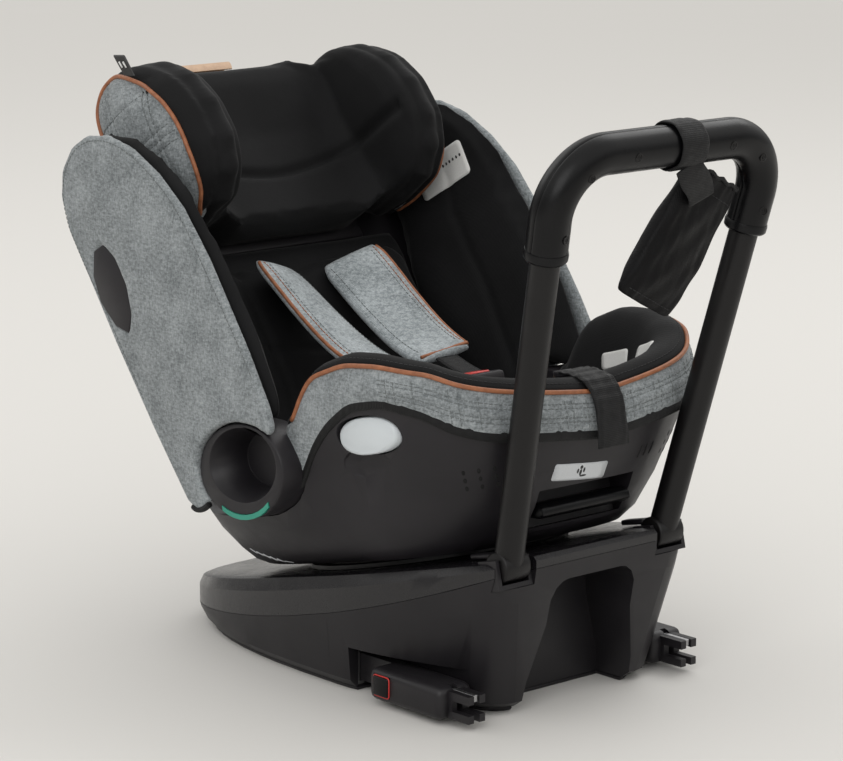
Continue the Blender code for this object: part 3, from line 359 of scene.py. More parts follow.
def repaint_nodes():
    """Give every CAD node the look of its slot."""
    for name, slot_name in SLOT_OF.items():
        for slot in frame["nodes"][name].material_slots:
            slot.material = KEPT_LOOKS[slot_name]


def new_object(name, mesh):
    """Put a mesh into the scene as an object."""
    piece = bpy.data.objects.new(name, mesh)
    bpy.context.scene.collection.objects.link(piece)
    return piece


BODY_OF = {node: body for body, nodes in frame["record"]["behaviour"]["bodies"].items() for node in nodes}


def refine(node, look, width):
    """Finer copy of a hard CAD piece: coplanar facets joined, edges rounded and curved faces smooth."""
    crisp = math.radians(34.0)
    mesh = frame["nodes"][node].data.copy()
    data = bmesh.new()
    data.from_mesh(mesh)
    bmesh.ops.remove_doubles(data, verts=data.verts, dist=0.00002)
    bmesh.ops.dissolve_limit(data, angle_limit=math.radians(1.2), verts=data.verts, edges=data.edges)
    bmesh.ops.recalc_face_normals(data, faces=data.faces)
    data.to_mesh(mesh)
    data.free()
    piece = new_object(node + "_fine", mesh)
    dress(piece, look, BODY_OF[node], (node,))
    mesh.set_sharp_from_angle(angle=crisp)
    if width:
        rounding = piece.modifiers.new("round", "BEVEL")
        rounding.width = width
        rounding.segments = 3
        rounding.limit_method = "ANGLE"
        rounding.angle_limit = crisp
        rounding.harden_normals = True


# ---------------------------------------------------------------- curves and meshes
def along_table(pairs, value):
    """Read a line given by a few (position, height) pairs, held level past its ends."""
    return float(np.interp(value, [p for p, _ in pairs], [h for _, h in pairs]))


def smooth_line(points, count, closed=False):
    """Evenly spaced points on a smooth curve through a few points, of any dimension."""
    spots = np.array([tuple(point) for point in points], float)
    total = len(spots)
    spans = total if closed else total - 1
    dense = []
    for i in range(spans):
        if closed:
            four = [spots[(i + k) % total] for k in (-1, 0, 1, 2)]
        else:
            four = [spots[min(max(i + k, 0), total - 1)] for k in (-1, 0, 1, 2)]
        for t in np.linspace(0.0, 1.0, 12, endpoint=False):
            a, b, c, d = four
            dense.append(0.5 * (2.0 * b + (c - a) * t + (2.0 * a - 5.0 * b + 4.0 * c - d) * t * t
                                + (3.0 * b - a - 3.0 * c + d) * t ** 3))
    dense.append(spots[0] if closed else spots[-1])
    dense = np.array(dense)
    length = np.concatenate([[0.0], np.cumsum(np.linalg.norm(np.diff(dense, axis=0), axis=1))])
    wanted = np.linspace(0.0, length[-1], count, endpoint=not closed)
    return np.stack([np.interp(wanted, length, dense[:, k]) for k in range(dense.shape[1])], axis=1)


def way_at(line, i, closed=False):
    """Direction of a line of points at one of them."""
    ahead = line[(i + 1) % len(line)] if closed or i < len(line) - 1 else line[i]
    behind = line[i - 1] if closed or i > 0 else line[i]
    return (Vector(ahead) - Vector(behind)).normalized()


def round_ring(middle, u_way, v_way, size, count):
    """Points on a circle about a middle, in the plane of two directions."""
    return [middle + (u_way * math.cos(t) + v_way * math.sin(t)) * size
            for t in (2.0 * math.pi * k / count for k in range(count))]


class Shape:
    """Points and faces that are gathered and then made into one piece."""

    def __init__(self):
        self.points = []
        self.faces = []

    def skin(self, rings, closed_length=False, caps=True):
        """Add a skin over closed rings of points."""
        count = len(rings[0])
        base = len(self.points)
        self.points += [Vector(point) for ring in rings for point in ring]
        for r in range(len(rings) if closed_length else len(rings) - 1):
            low = base + r * count
            high = base + (r + 1) % len(rings) * count
            for i in range(count):
                j = (i + 1) % count
                self.faces.append((low + i, low + j, high + j, high + i))
        if caps and not closed_length:
            for first in (base, base + (len(rings) - 1) * count):
                self.faces.append(tuple(range(first, first + count)))
        return self

    def tube(self, path, radius, sides=10, closed=False, up=None):
        """Add a round tube along a path."""
        path = [Vector(point) for point in path]
        rings = []
        side = None
        for i, point in enumerate(path):
            along = way_at(path, i, closed)
            if up is not None:
                side = up.cross(along).normalized()
            elif side is None:
                side = along.orthogonal().normalized()
            else:
                side = (side - along * side.dot(along)).normalized()
            rings.append(round_ring(point, side, along.cross(side), radius, sides))
        return self.skin(rings, closed_length=closed)

    def piece(self, name, look, body, slot, stands_for=(), fill=None, levels=0):
        """Make the piece, with its look, and let it ride on a body."""
        data = bmesh.new()
        made = [data.verts.new(point) for point in self.points]
        for face in self.faces:
            try:
                data.faces.new([made[i] for i in face])
            except ValueError:
                continue
        bmesh.ops.recalc_face_normals(data, faces=data.faces)
        mesh = bpy.data.meshes.new(name)
        data.to_mesh(mesh)
        data.free()
        return dress(new_object(name, mesh), look, body, stands_for, levels)


def dress(piece, look, body, stands_for=(), levels=0):
    """Paint a piece and attach it, in place of the CAD nodes it stands for."""
    piece.data.materials.clear()
    piece.data.materials.append(look)
    piece.data.shade_smooth()
    if levels:
        modifier = piece.modifiers.new("subdivide", "SUBSURF")
        modifier.levels = levels
        modifier.render_levels = levels
    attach(piece, body)
    for node in stands_for:
        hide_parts(node)
    return piece


def sharpen(piece, degrees=35.0):
    """Keep a hard piece's edges crisp."""
    piece.data.set_sharp_from_angle(angle=math.radians(degrees))
    return piece


def surface_of(piece):
    """A tree of a piece's present surface, for finding points on it."""
    bpy.context.view_layer.update()
    shown = piece.evaluated_get(bpy.context.evaluated_depsgraph_get())
    mesh = shown.to_mesh()
    points = [piece.matrix_world @ v.co for v in mesh.vertices]
    faces = [tuple(polygon.vertices) for polygon in mesh.polygons]
    shown.to_mesh_clear()
    return BVHTree.FromPolygons(points, faces)


def land(tree, point, direction, reach=0.06):
    """Point and normal where a ray from outside meets a surface. The nearest point if it misses."""
    direction = direction.normalized()
    spot, normal, _, _ = tree.ray_cast(point + direction * reach, -direction, reach * 2.0)
    if spot is None:
        spot, normal, _, _ = tree.find_nearest(point)
    if normal.dot(direction) < 0.0:
        normal = -normal
    return spot, normal


def lay_line(tree, points, direction, lift=0.0):
    """A line of points dropped onto a surface, and their normals."""
    spots = []
    normals = []
    for point in points:
        way = direction(point) if callable(direction) else direction
        spot, normal = land(tree, Vector(point), way)
        spots.append(spot + normal * lift)
        normals.append(normal)
    return spots, normals


def stitch_run(shape, points, normals, length=0.0032, space=0.0016, radius=0.00042):
    """Add sewn stitches along a line on a surface: short rounded bars that dip at both ends."""
    steps = np.array([(b - a).length for a, b in zip(points, points[1:])])
    at = np.concatenate([[0.0], np.cumsum(steps)])
    spots = np.array([tuple(p) for p in points])
    ups = np.array([tuple(n) for n in normals])

    def read(values, where):
        return Vector([float(np.interp(where, at, values[:, k])) for k in range(3)])

    start = space * 0.5
    while start + length < at[-1]:
        line = []
        for share, rise in ((0.0, -0.0003), (0.2, 0.00015), (0.8, 0.00015), (1.0, -0.0003)):
            where = start + length * share
            line.append(read(spots, where) + read(ups, where).normalized() * rise)
        shape.tube(line, radius, 5)
        start += length + space


def sew(name, look, slot, body, tree, runs, way, lift=0.0001, *stitch):
    """One piece of stitches along lines that are dropped onto a surface."""
    threads = Shape()
    for run in runs:
        spots, normals = lay_line(tree, run, way, lift)
        stitch_run(threads, spots, normals, *stitch)
    return threads.piece(name, look, body, slot)


def finer_outline(outline):
    """The same closed outline with no side longer than 3 mm."""
    points = []
    reach = 0.003
    for (u, v), (next_u, next_v) in zip(outline, outline[1:] + outline[:1]):
        parts = max(1, math.ceil(math.hypot(next_u - u, next_v - v) / reach))
        points += [(u + (next_u - u) * k / parts, v + (next_v - v) * k / parts) for k in range(parts)]
    return points


def patch(shape, tree, centre, out, up, outline, lift=0.0004, steps=3):
    """Add a thin plate that follows a surface: outline points (across, up) about a centre."""
    out = out.normalized()
    up = (up - out * up.dot(out)).normalized()
    across = up.cross(out)
    outline = finer_outline(outline)
    rings = []
    for k in range(steps):
        scale = 1.0 - k / steps
        ring = []
        for u, v in outline:
            spot, normal = land(tree, centre + across * (u * scale) + up * (v * scale), out, 0.03)
            ring.append(spot + normal * lift)
        rings.append(ring)
    below = [point - out * (lift + 0.0008) for point in rings[0]]
    middle, normal = land(tree, centre, out, 0.03)
    count = len(outline)
    shape.skin([below] + rings, caps=False)
    base = len(shape.points)
    last_ring = range(base - count, base)
    shape.points.append(middle + normal * lift)
    for i in range(count):
        shape.faces.append((last_ring[i], last_ring[(i + 1) % count], base))
    bottom = len(shape.points)
    first_ring = range(base - count * (steps + 1), base - count * steps)
    shape.points.append(middle - out * 0.0008)
    for i in range(count):
        shape.faces.append((first_ring[(i + 1) % count], first_ring[i], bottom))


def rounded_box(width, height, corner, steps=4):
    """Outline of a rectangle with round corners, about its middle."""
    points = []
    for sign_u, sign_v, start in ((1, 1, 0), (-1, 1, 90), (-1, -1, 180), (1, -1, 270)):
        for k in range(steps + 1):
            turn = math.radians(start + 90.0 * k / steps)
            points.append((sign_u * (width * 0.5 - corner) + corner * math.cos(turn),
                           sign_v * (height * 0.5 - corner) + corner * math.sin(turn)))
    return points


def oval(half_u, half_v, count=20, power=2.0):
    """Outline of an oval about its middle."""
    points = []
    for k in range(count):
        turn = 2.0 * math.pi * k / count
        u = math.copysign(abs(math.cos(turn)) ** (2.0 / power), math.cos(turn))
        v = math.copysign(abs(math.sin(turn)) ** (2.0 / power), math.sin(turn))
        points.append((half_u * u, half_v * v))
    return points


# ---------------------------------------------------------------- padded pieces by cloth simulation
swelling = []


def remeshed(nodes, name, voxel, shrink, smoothing=6, grow=0.0):
    """CAD soft solids as one even mesh with soft edges, a little smaller than the solids."""
    mesh = bpy.data.meshes.new(name)
    piece = new_object(name, mesh)
    data = bmesh.new()
    for node in nodes:
        data.from_mesh(frame["nodes"][node].data)
    bmesh.ops.remove_doubles(data, verts=data.verts, dist=0.00005)
    bmesh.ops.recalc_face_normals(data, faces=data.faces)
    data.normal_update()
    for vert in data.verts:
        vert.co += vert.normal * grow
    data.to_mesh(mesh)
    data.free()
    remesh = piece.modifiers.new("remesh", "REMESH")
    remesh.mode = "VOXEL"
    remesh.voxel_size = voxel
    relax = piece.modifiers.new("relax", "SMOOTH")
    relax.factor = 0.5
    relax.iterations = smoothing
    bake_modifiers(piece)
    if shrink + grow:
        put_points(piece, get_points(piece) - vertex_normals(piece) * (shrink + grow))
    return piece


def bake_modifiers(piece):
    """Replace a piece's mesh with what its modifiers make of it."""
    bpy.context.view_layer.update()
    graph = bpy.context.evaluated_depsgraph_get()
    mesh = bpy.data.meshes.new_from_object(piece.evaluated_get(graph))
    piece.modifiers.clear()
    piece.data = mesh


def get_points(piece):
    """The piece's points as an array."""
    flat = np.zeros(len(piece.data.vertices) * 3)
    piece.data.vertices.foreach_get("co", flat)
    return flat.reshape(-1, 3)


def put_points(piece, points):
    """Move the piece's points to an array's rows."""
    piece.data.vertices.foreach_set("co", np.asarray(points, float).reshape(-1))
    piece.data.update()


def swell(piece, pressure, cap):
    """Mark a piece to be filled like a cushion, its points moving no further than cap."""
    cloth = piece.modifiers.new("cloth", "CLOTH")
    cloth.settings.use_pressure = True
    cloth.settings.uniform_pressure_force = pressure
    cloth.settings.effector_weights.gravity = 0.0
    cloth.settings.quality = 4
    cloth.settings.mass = 0.25
    cloth.settings.tension_stiffness = 12.0
    cloth.settings.compression_stiffness = 12.0
    cloth.settings.bending_stiffness = 0.4
    cloth.collision_settings.use_collision = False
    cloth.point_cache.frame_start = 1
    cloth.point_cache.frame_end = 20
    swelling.append((piece, cap))


def run_simulation():
    """Step the cloth once for all padded pieces, then keep the shapes it gives."""
    if not swelling:
        return
    starts = [get_points(piece) for piece, _ in swelling]
    for step in range(1, 21):
        bpy.context.scene.frame_set(step)
    graph = bpy.context.evaluated_depsgraph_get()
    ends = []
    for piece, _ in swelling:
        mesh = piece.evaluated_get(graph).to_mesh()
        flat = np.zeros(len(mesh.vertices) * 3)
        mesh.vertices.foreach_get("co", flat)
        ends.append(flat.reshape(-1, 3))
        piece.evaluated_get(graph).to_mesh_clear()
    for (piece, cap), start, end in zip(swelling, starts, ends):
        move = end - start
        far = np.maximum(np.linalg.norm(move, axis=1), 1e-9)
        piece.modifiers.clear()
        put_points(piece, start + move * np.minimum(1.0, cap / far)[:, None])
    bpy.context.scene.frame_set(1)


def press_seam(points, piece, flat, line, shown, width, depth, closed=False):
    """Sink the shown points near a line that is drawn in two of their coordinates."""
    away = np.where(shown, distance_to_line(flat, line, closed), 1.0)
    return points - vertex_normals(piece) * (depth * np.exp(-(away / width) ** 2))[:, None]


def vertex_normals(piece):
    """The piece's vertex normals as an array."""
    flat = np.zeros(len(piece.data.vertices) * 3)
    piece.data.vertices.foreach_get("normal", flat)
    return flat.reshape(-1, 3)


def in_back(points):
    """Backrest coordinates (x, p, b) of an array of points."""
    offset = points - np.array(DECK_CENTRE)
    return np.stack([offset[:, 0], offset @ np.array(BACK_FORWARD), offset @ np.array(BACK_UP)], axis=1)


def in_seat(points):
    """Seat coordinates (x, f, h) of an array of points."""
    offset = points - np.array(DECK_CENTRE)
    return np.stack([offset[:, 0], offset @ np.array(DECK_FORWARD), offset @ np.array(DECK_UP)], axis=1)


# ---------------------------------------------------------------- backrest: side covers and wings
PANEL = [(-0.052, 0.104), (-0.062, 0.120), (-0.068, 0.200), (-0.072, 0.300), (-0.073, 0.430), (-0.064, 0.465),
         (-0.045, 0.486), (-0.018, 0.496), (0.010, 0.493), (0.040, 0.476), (0.066, 0.447), (0.088, 0.405),
         (0.102, 0.360), (0.108, 0.300), (0.108, 0.200), (0.104, 0.140), (0.098, 0.118)]


def distance_to_line(points, line, closed=False):
    """Each 2-D point's distance from a polyline."""
    line = np.asarray(line, float)
    starts = line if closed else line[:-1]
    ends = np.roll(line, -1, axis=0) if closed else line[1:]
    nearest = np.full(len(points), 1.0e9)
    for a, b in zip(starts, ends):
        along = b - a
        share = np.clip(((points - a) @ along) / max(along @ along, 1.0e-12), 0.0, 1.0)
        nearest = np.minimum(nearest, np.linalg.norm(points - (a + share[:, None] * along), axis=1))
    return nearest


def side_cover(side_name, side):
    """Grey cover on the backrest's outer side: crowned over thin foam, with a bound edge."""
    cover = remeshed(["side_cover_" + side_name], "cover_" + side_name, 0.0032, 0.0, 5)
    points = get_points(cover)
    local = in_back(points)
    outline = smooth_line(PANEL, 160, closed=True)
    edge = distance_to_line(local[:, 1:], outline, closed=True)
    outward = np.clip((np.abs(local[:, 0]) - 0.2185) / 0.005, 0.0, 1.0)
    crown = 0.0045 * (1.0 - np.exp(-(edge / 0.050) ** 2)) * outward
    seam = 0.0010 * np.exp(-((edge - 0.0075) / 0.0022) ** 2) * outward
    points[:, 0] += side * (crown - seam)
    put_points(cover, points)
    return dress(cover, GREY_CLOTH, "seat", ("side_cover_" + side_name,), 1)


def cover_trim(side_name, side, cover):
    """Stitching inside the cover's edge and the dark elastic binding round its lower rear corner."""
    outline = smooth_line(PANEL, 200, closed=True)
    middle = outline.mean(axis=0)
    inner = middle + (outline - middle) * (1.0 - 0.0075 / np.linalg.norm(outline - middle, axis=1))[:, None]
    run = [back(side * 0.23, p, b) for p, b in inner if b > 0.17]
    run = run[len(run) // 12:]
    sew("cover_stitches_" + side_name, GREY_THREAD, "grey_fabric", "seat", surface_of(cover), [run],
        X_AXIS * side, 0.0002)
    bound = [(-0.034, 0.1040), (-0.044, 0.1045), (-0.0540, 0.1080), (-0.0585, 0.1135)]
    binding = Shape().tube([back(side * 0.2215, p, b) for p, b in smooth_line(bound, 60)], 0.0032, 8)
    binding.piece("cover_binding_" + side_name, ELASTIC_CLOTH, "seat", "webbing")


def wing_pads():
    """Black padded wings inside the side covers, the right one a mirror image of the left."""
    left = remeshed(["wing_pad_left"], "wing_left", 0.0050, 0.0022, 24)
    swell(left, 3.0, 0.0045)
    return left


def finish_wings(left):
    """Press the left wing's seams, mirror it and attach both. Returns the right one."""
    points = get_points(left)
    local = in_back(points)
    for low, high in ((0.135, 0.34), (0.345, 0.49)):
        seam = smooth_line([(0.026, low), (0.036, (low + high) * 0.5), (0.030, high)], 20)
        points = press_seam(points, left, local[:, 1:], seam, local[:, 0] > -0.205, 0.0045, 0.0022)
    put_points(left, points)
    mesh = left.data.copy()
    mesh.transform(Matrix.Diagonal((-1.0, 1.0, 1.0, 1.0)))
    mesh.flip_normals()
    mesh.name = "wing_right"
    right = new_object("wing_right", mesh)
    for name, piece in (("left", left), ("right", right)):
        dress(piece, BLACK_CLOTH, "seat", ("wing_pad_" + name,), 1)
    return right


# ---------------------------------------------------------------- headrest
def headrest_pad():
    """Both wings and the centre of the headrest as one black pad."""
    pad = remeshed(["headrest_wing_left", "headrest_cushion", "headrest_wing_right"], "headrest_pad",
                   0.0042, 0.0018, 20, grow=0.0012)
    swell(pad, 3.5, 0.0045)
    return pad


WING_OUTLINE = [(-0.044, 0.385), (-0.046, 0.430), (-0.044, 0.520), (-0.032, 0.556), (-0.008, 0.571),
                (0.026, 0.568), (0.060, 0.550), (0.092, 0.515), (0.109, 0.475), (0.112, 0.430),
                (0.097, 0.395), (0.066, 0.372), (0.015, 0.368), (-0.030, 0.372)]
CAP_OUTLINE = [(-0.034, 0.388), (-0.036, 0.430), (-0.036, 0.500), (-0.032, 0.534), (-0.018, 0.552), (0.008, 0.555),
               (0.030, 0.542), (0.054, 0.518), (0.072, 0.490), (0.080, 0.463), (0.081, 0.436), (0.073, 0.402),
               (0.052, 0.382), (0.015, 0.374), (-0.022, 0.376)]
CAP_MIDDLE = (0.018, 0.458)
QUILT_ROWS = (0.512, 0.466, 0.4565, 0.447, 0.402)
QUILT_COLUMNS = (-0.016, -0.009, -0.002, 0.048, 0.055)


def finish_headrest(pad):
    """Press the headrest's seams and attach it."""
    points = get_points(pad)
    local = in_back(points)
    wide = np.abs(local[:, 0])
    middle = np.array((0.030, 0.470))
    ring = smooth_line([middle + (np.array(point) - middle) * 0.92 for point in WING_OUTLINE], 80, True)
    shown = (wide < 0.150) & (wide > 0.108)
    points = press_seam(points, pad, local[:, 1:], ring, shown, 0.0038, 0.0046, True)
    crease = smooth_line([(-0.12, 0.452), (-0.05, 0.436), (0.0, 0.431), (0.05, 0.436), (0.12, 0.452)], 40)
    front = (local[:, 1] > -0.024) & (wide < 0.112)
    put_points(pad, press_seam(points, pad, local[:, (0, 2)], crease, front, 0.0055, 0.0065))
    dress(pad, BLACK_CLOTH, "headrest",
          ("headrest_cushion", "headrest_wing_left", "headrest_wing_right"), 1)


def quilt_depth(p, b):
    """Depth of the quilting of the headrest's grey caps."""
    depth = sum(math.exp(-((b - at) / 0.0021) ** 2) for at in QUILT_ROWS)
    depth += sum(math.exp(-((p - at) / 0.0020) ** 2) for at in QUILT_COLUMNS)
    return 0.0017 * min(depth, 1.3)


def head_cap(side_name, side, pad):
    """Grey quilted cap on the outer face of a headrest wing, its stitches and its copper piping."""
    tree = surface_of(pad)
    out = X_AXIS * side
    outline = smooth_line(CAP_OUTLINE, 132, closed=True)
    middle = np.array(CAP_MIDDLE)
    outline = middle + (outline - middle) * (1.0 if side < 0 else 0.93)
    rings = []
    rows = 30
    for k in range(rows):
        scale = 1.0 - k / rows
        ring = []
        for p, b in middle + (outline - middle) * scale:
            spot, _ = land(tree, back(side * 0.19, p, b), out, 0.08)
            spot = back(side * max(abs(spot.x), 0.150), p, b)
            edge = (1.0 - scale) * 0.050
            crown = 0.0008 + 0.0052 * (1.0 - math.exp(-(edge / 0.010) ** 2))
            ring.append(spot + out * (crown - quilt_depth(p, b) * min(edge / 0.004, 1.0)))
        rings.append(ring)
    border = [point + out * 0.0006 for point in rings[0]]
    rings.insert(0, [point - out * 0.006 for point in rings[0]])
    cap = Shape().skin(rings).piece("head_cap_" + side_name, GREY_CLOTH, "headrest", "grey_fabric",
                                    ("headrest_wing_" + side_name,), 0.8)
    piping = Shape().tube(smooth_line(ease_closed(border, 2), 150, closed=True), 0.0023, closed=True)
    piping.piece("head_piping_" + side_name, COPPER_LEATHER, "headrest", "accent_leather")
    runs = [[(p, at) for p in np.linspace(-0.040, 0.090, 60)] for at in QUILT_ROWS]
    runs += [[(at, b) for b in np.linspace(0.372, 0.550, 80)] for at in QUILT_COLUMNS]
    inside = middle + (outline - middle) * 0.94
    runs = [[back(side * 0.19, p, b) for p, b in run if inside_outline(p, b, inside)] for run in runs]
    sew("head_stitches_" + side_name, GREY_THREAD, "grey_fabric", "headrest", surface_of(cap),
        [run for run in runs if len(run) > 5], out)


def ease_closed(points, passes):
    """A closed line of points with its small kinks averaged out."""
    spots = np.array([tuple(point) for point in points])
    for _ in range(passes):
        spots = spots * 0.5 + (np.roll(spots, 1, axis=0) + np.roll(spots, -1, axis=0)) * 0.25
    return [Vector(spot) for spot in spots]


def headrest_trim():
    """Pull tab on top of the headrest, and the tag on its left wing."""
    rings = []
    thick = 0.0011
    for turn in np.linspace(0.0, math.pi, 13):
        half = 0.030 + 0.004 * math.sin(turn)
        out = BACK_FORWARD * -math.cos(turn) + BACK_UP * math.sin(turn)
        centre = back(0.0, -0.043 - 0.0085 * math.cos(turn), 0.5750 + 0.0115 * math.sin(turn))
        rings.append([centre + X_AXIS * x + out * y for x, y in
                      ((-half, -thick), (half, -thick), (half + 0.0008, 0.0), (half, thick), (-half, thick),
                       (-half - 0.0008, 0.0))])
    sharpen(Shape().skin(rings).piece("head_pull_tab", TAN_LEATHER, "headrest_handle", "accent_leather"))
    top = back(-0.1690, 0.040, 0.541)
    along = BACK_FORWARD * 0.014 - BACK_UP * 0.0085
    rings = [[top + along * u + X_AXIS * x + BACK_UP * z for x, z in
              ((0.0030, -0.002), (0.0044, -0.002), (0.0025, 0.0215), (0.0010, 0.0225), (0.0000, 0.0210))]
             for u in np.linspace(-0.5, 0.5, 5)]
    sharpen(Shape().skin(rings).piece("head_side_tag", BLACK_PRINT, "headrest", "black_fabric"))
    mark = Shape()
    for u in (-0.22, 0.18):
        spot = top + along * u
        mark.tube([spot + X_AXIS * x + BACK_UP * z for x, z in ((0.0018, 0.0075), (0.0007, 0.0145))], 0.0010, 8)
    mark.piece("head_tag_mark", WHITE_PRINT, "headrest", "black_fabric")


def inside_outline(u, v, outline):
    """Whether a 2-D point is inside a closed outline."""
    inside = False
    last_u, last_v = outline[-1]
    for next_u, next_v in outline:
        if (next_v > v) != (last_v > v) and u < (last_u - next_u) * (v - next_v) / (last_v - next_v) + next_u:
            inside = not inside
        last_u, last_v = next_u, next_v
    return inside


# ---------------------------------------------------------------- seat: cushions
def seat_cushions():
    """Padded seat and back cushions."""
    made = []
    for node, name in (("seat_cushion", "cushion_seat"), ("back_cushion", "cushion_back")):
        made.append(remeshed([node], name, 0.0052, 0.0030, 8))
        swell(made[-1], 4.0, 0.0060)
    return made


def both_sides(points):
    """A line of points and its mirror image."""
    return [points, [(-x, y) for x, y in points]]


def finish_cushions(bottom, rear):
    """Press the sewn channels and attach the cushions."""
    bottom_lines = both_sides([(-0.095, 0.19), (-0.088, 0.10), (-0.080, -0.02)])
    bottom_lines.append([(-0.088, 0.135), (0.0, 0.142), (0.088, 0.135)])
    rear_lines = both_sides([(-0.092, 0.13), (-0.088, 0.24), (-0.082, 0.35)])
    rear_lines.append([(-0.088, 0.245), (0.0, 0.238), (0.088, 0.245)])
    for piece, node, frame_of, columns, depth_at, shown_from, lines in (
            (bottom, "seat_cushion", in_seat, (0, 1), 2, 0.124, bottom_lines),
            (rear, "back_cushion", in_back, (0, 2), 1, -0.036, rear_lines)):
        points = get_points(piece)
        local = frame_of(points)
        shown = local[:, depth_at] > shown_from
        for line in lines:
            seam = smooth_line(line, 24)
            points = press_seam(points, piece, local[:, columns], seam, shown, 0.0050, 0.0030)
        put_points(piece, points)
        dress(piece, BLACK_CLOTH, "seat", (node,), 1)


def upper_back_panel():
    """Black padded panel that closes the backrest behind the shoulder straps, up to the headrest."""
    rings = []
    for b in np.linspace(0.300, 0.3650, 14):
        front = along_table([(0.300, -0.036), (0.335, -0.031), (0.352, -0.033), (0.3650, -0.0400)], b)
        ring = []
        for u, v in oval(1.0, 1.0, 56, 5.0):
            ripple = 0.0012 * math.sin(u * 9.0) * (v > 0.0)
            ring.append(back(0.149 * u, (front - 0.0455) * 0.5 + (front + 0.0455) * 0.5 * v + ripple, b))
        rings.append(ring)
    Shape().skin(rings).piece("upper_back_panel", BLACK_CLOTH, "seat", "black_fabric", fill=0.7)


# ---------------------------------------------------------------- rim: grey band, black bolster and piping
PLAN_CENTRE = 0.060
SHELL_HALF_WIDTH = 0.197
RIM_REAR = 0.190
RIM_TURN = math.radians(97.0)
RIM_STATIONS = 221
TRIM_SIDE = [(-0.190, 0.095), (-0.140, 0.074), (-0.120, 0.070), (-0.040, 0.064), (0.009, 0.068), (0.045, 0.093),
             (0.071, 0.125), (0.094, 0.143), (0.128, 0.160), (0.167, 0.160), (0.204, 0.145), (0.242, 0.127)]
QUILT_HEIGHTS = (0.28, 0.39, 0.62, 0.73)
QUILT_STEPS = (0.010, 0.018, 0.036)
QUILT_PITCH = 0.058
PIPING_SIDE = [(0.045, 0.150), (0.060, 0.172), (0.082, 0.192), (0.130, 0.200), (0.169, 0.195), (0.207, 0.183),
               (0.262, 0.168)]


def trim_height(x, f):
    """Height of the shell's upper edge, where the fabric's elastic edge lies."""
    side_height = along_table(TRIM_SIDE, f)
    if f < 0.150:
        return side_height
    inward = 1.0 - min(abs(x) / 0.170, 1.0)
    return side_height - (side_height - 0.099) * inward ** 0.6


def plan(turn, front):
    """Plan point (x, f) of the seat's outline: turn 0 is forwards, 90 degrees to the right."""
    sine = math.sin(turn)
    cosine = math.cos(turn)
    power = 3.4 if cosine > 0.0 else 4.0
    length = front - PLAN_CENTRE if cosine > 0.0 else RIM_REAR + PLAN_CENTRE
    reach = (abs(sine / SHELL_HALF_WIDTH) ** power + abs(cosine / length) ** power) ** (-1.0 / power)
    return reach * sine, PLAN_CENTRE + reach * cosine


def rim_frame(share):
    """At a share along the rim: its edge, its way in, its low and piping heights, and its share of front."""
    turn = RIM_TURN * (2.0 * share - 1.0)
    low = trim_height(*plan(turn, 0.254)) + 0.0022
    x, f = plan(turn, 0.260)
    front = (1.0 - min(abs(x) / 0.165, 1.0)) ** 0.6
    piping = along_table(PIPING_SIDE, f)
    piping += (0.140 - piping) * front
    inwards = (Vector((x * 0.25, min(f, 0.085 + (f - 0.085) * 0.25))) - Vector((x, f))).normalized()
    return x, f, inwards.x, inwards.y, low, piping, front


def smoothed_frames():
    """Rim frames with their corners eased along the rim."""
    rows = np.array([rim_frame(i / (RIM_STATIONS - 1)) for i in range(RIM_STATIONS)])
    width = 5
    padded = np.pad(rows, ((width, width), (0, 0)), mode="reflect", reflect_type="odd")
    weights = np.hanning(2 * width + 3)[1:-1]
    weights = weights / weights.sum()
    return np.stack([np.convolve(padded[:, k], weights, mode="valid") for k in range(rows.shape[1])], axis=1)


RIM_FRAMES = smoothed_frames()
RIM_LENGTH = np.concatenate([[0.0], np.cumsum(np.linalg.norm(np.diff(RIM_FRAMES[:, :2], axis=0), axis=1))])
RIM_MIDDLE = RIM_LENGTH[-1] * 0.5


def rim_point(frame_row, step, h):
    """World point at a step inwards from the rim's edge and a height."""
    x, f, in_x, in_f = frame_row[:4]
    length = math.hypot(in_x, in_f)
    return seat(x + in_x / length * step, f + in_f / length * step, h)


def quilting(distance, height):
    """Depth of the band's plaid quilting, strongest across the front."""
    reach = float(np.clip((0.235 - abs(distance - RIM_MIDDLE)) / 0.03, 0.0, 1.0))
    phase = (distance - RIM_MIDDLE + 5.0) % QUILT_PITCH
    depth = sum(math.exp(-((height - at) / 0.042) ** 2) for at in QUILT_HEIGHTS)
    depth += sum(math.exp(-((phase - at) / 0.0017) ** 2) for at in QUILT_STEPS)
    return 0.0014 * reach * min(depth, 1.3)


def band_point(row, step, height):
    """World point on the rim's band, its height as a share from its edge to its piping."""
    return rim_point(row, step, row[4] + (row[5] - row[4]) * height)


def rim_band():
    """Grey quilted band round the outside of the rim."""
    rings = []
    for row, distance in zip(RIM_FRAMES, RIM_LENGTH):
        ring = []
        for height in np.linspace(0.0, 1.0, 25):
            bulge = 0.0046 * math.sin(math.pi * height) ** 0.8
            ring.append(band_point(row, -0.0006 - bulge + quilting(distance, height), height))
        rings.append(ring + [band_point(row, 0.0075, height) for height in (0.97, 0.66, 0.33, 0.03)])
    return Shape().skin(rings).piece("rim_band", GREY_CLOTH, "seat", "grey_fabric", ("seat_rim",), 0.8)


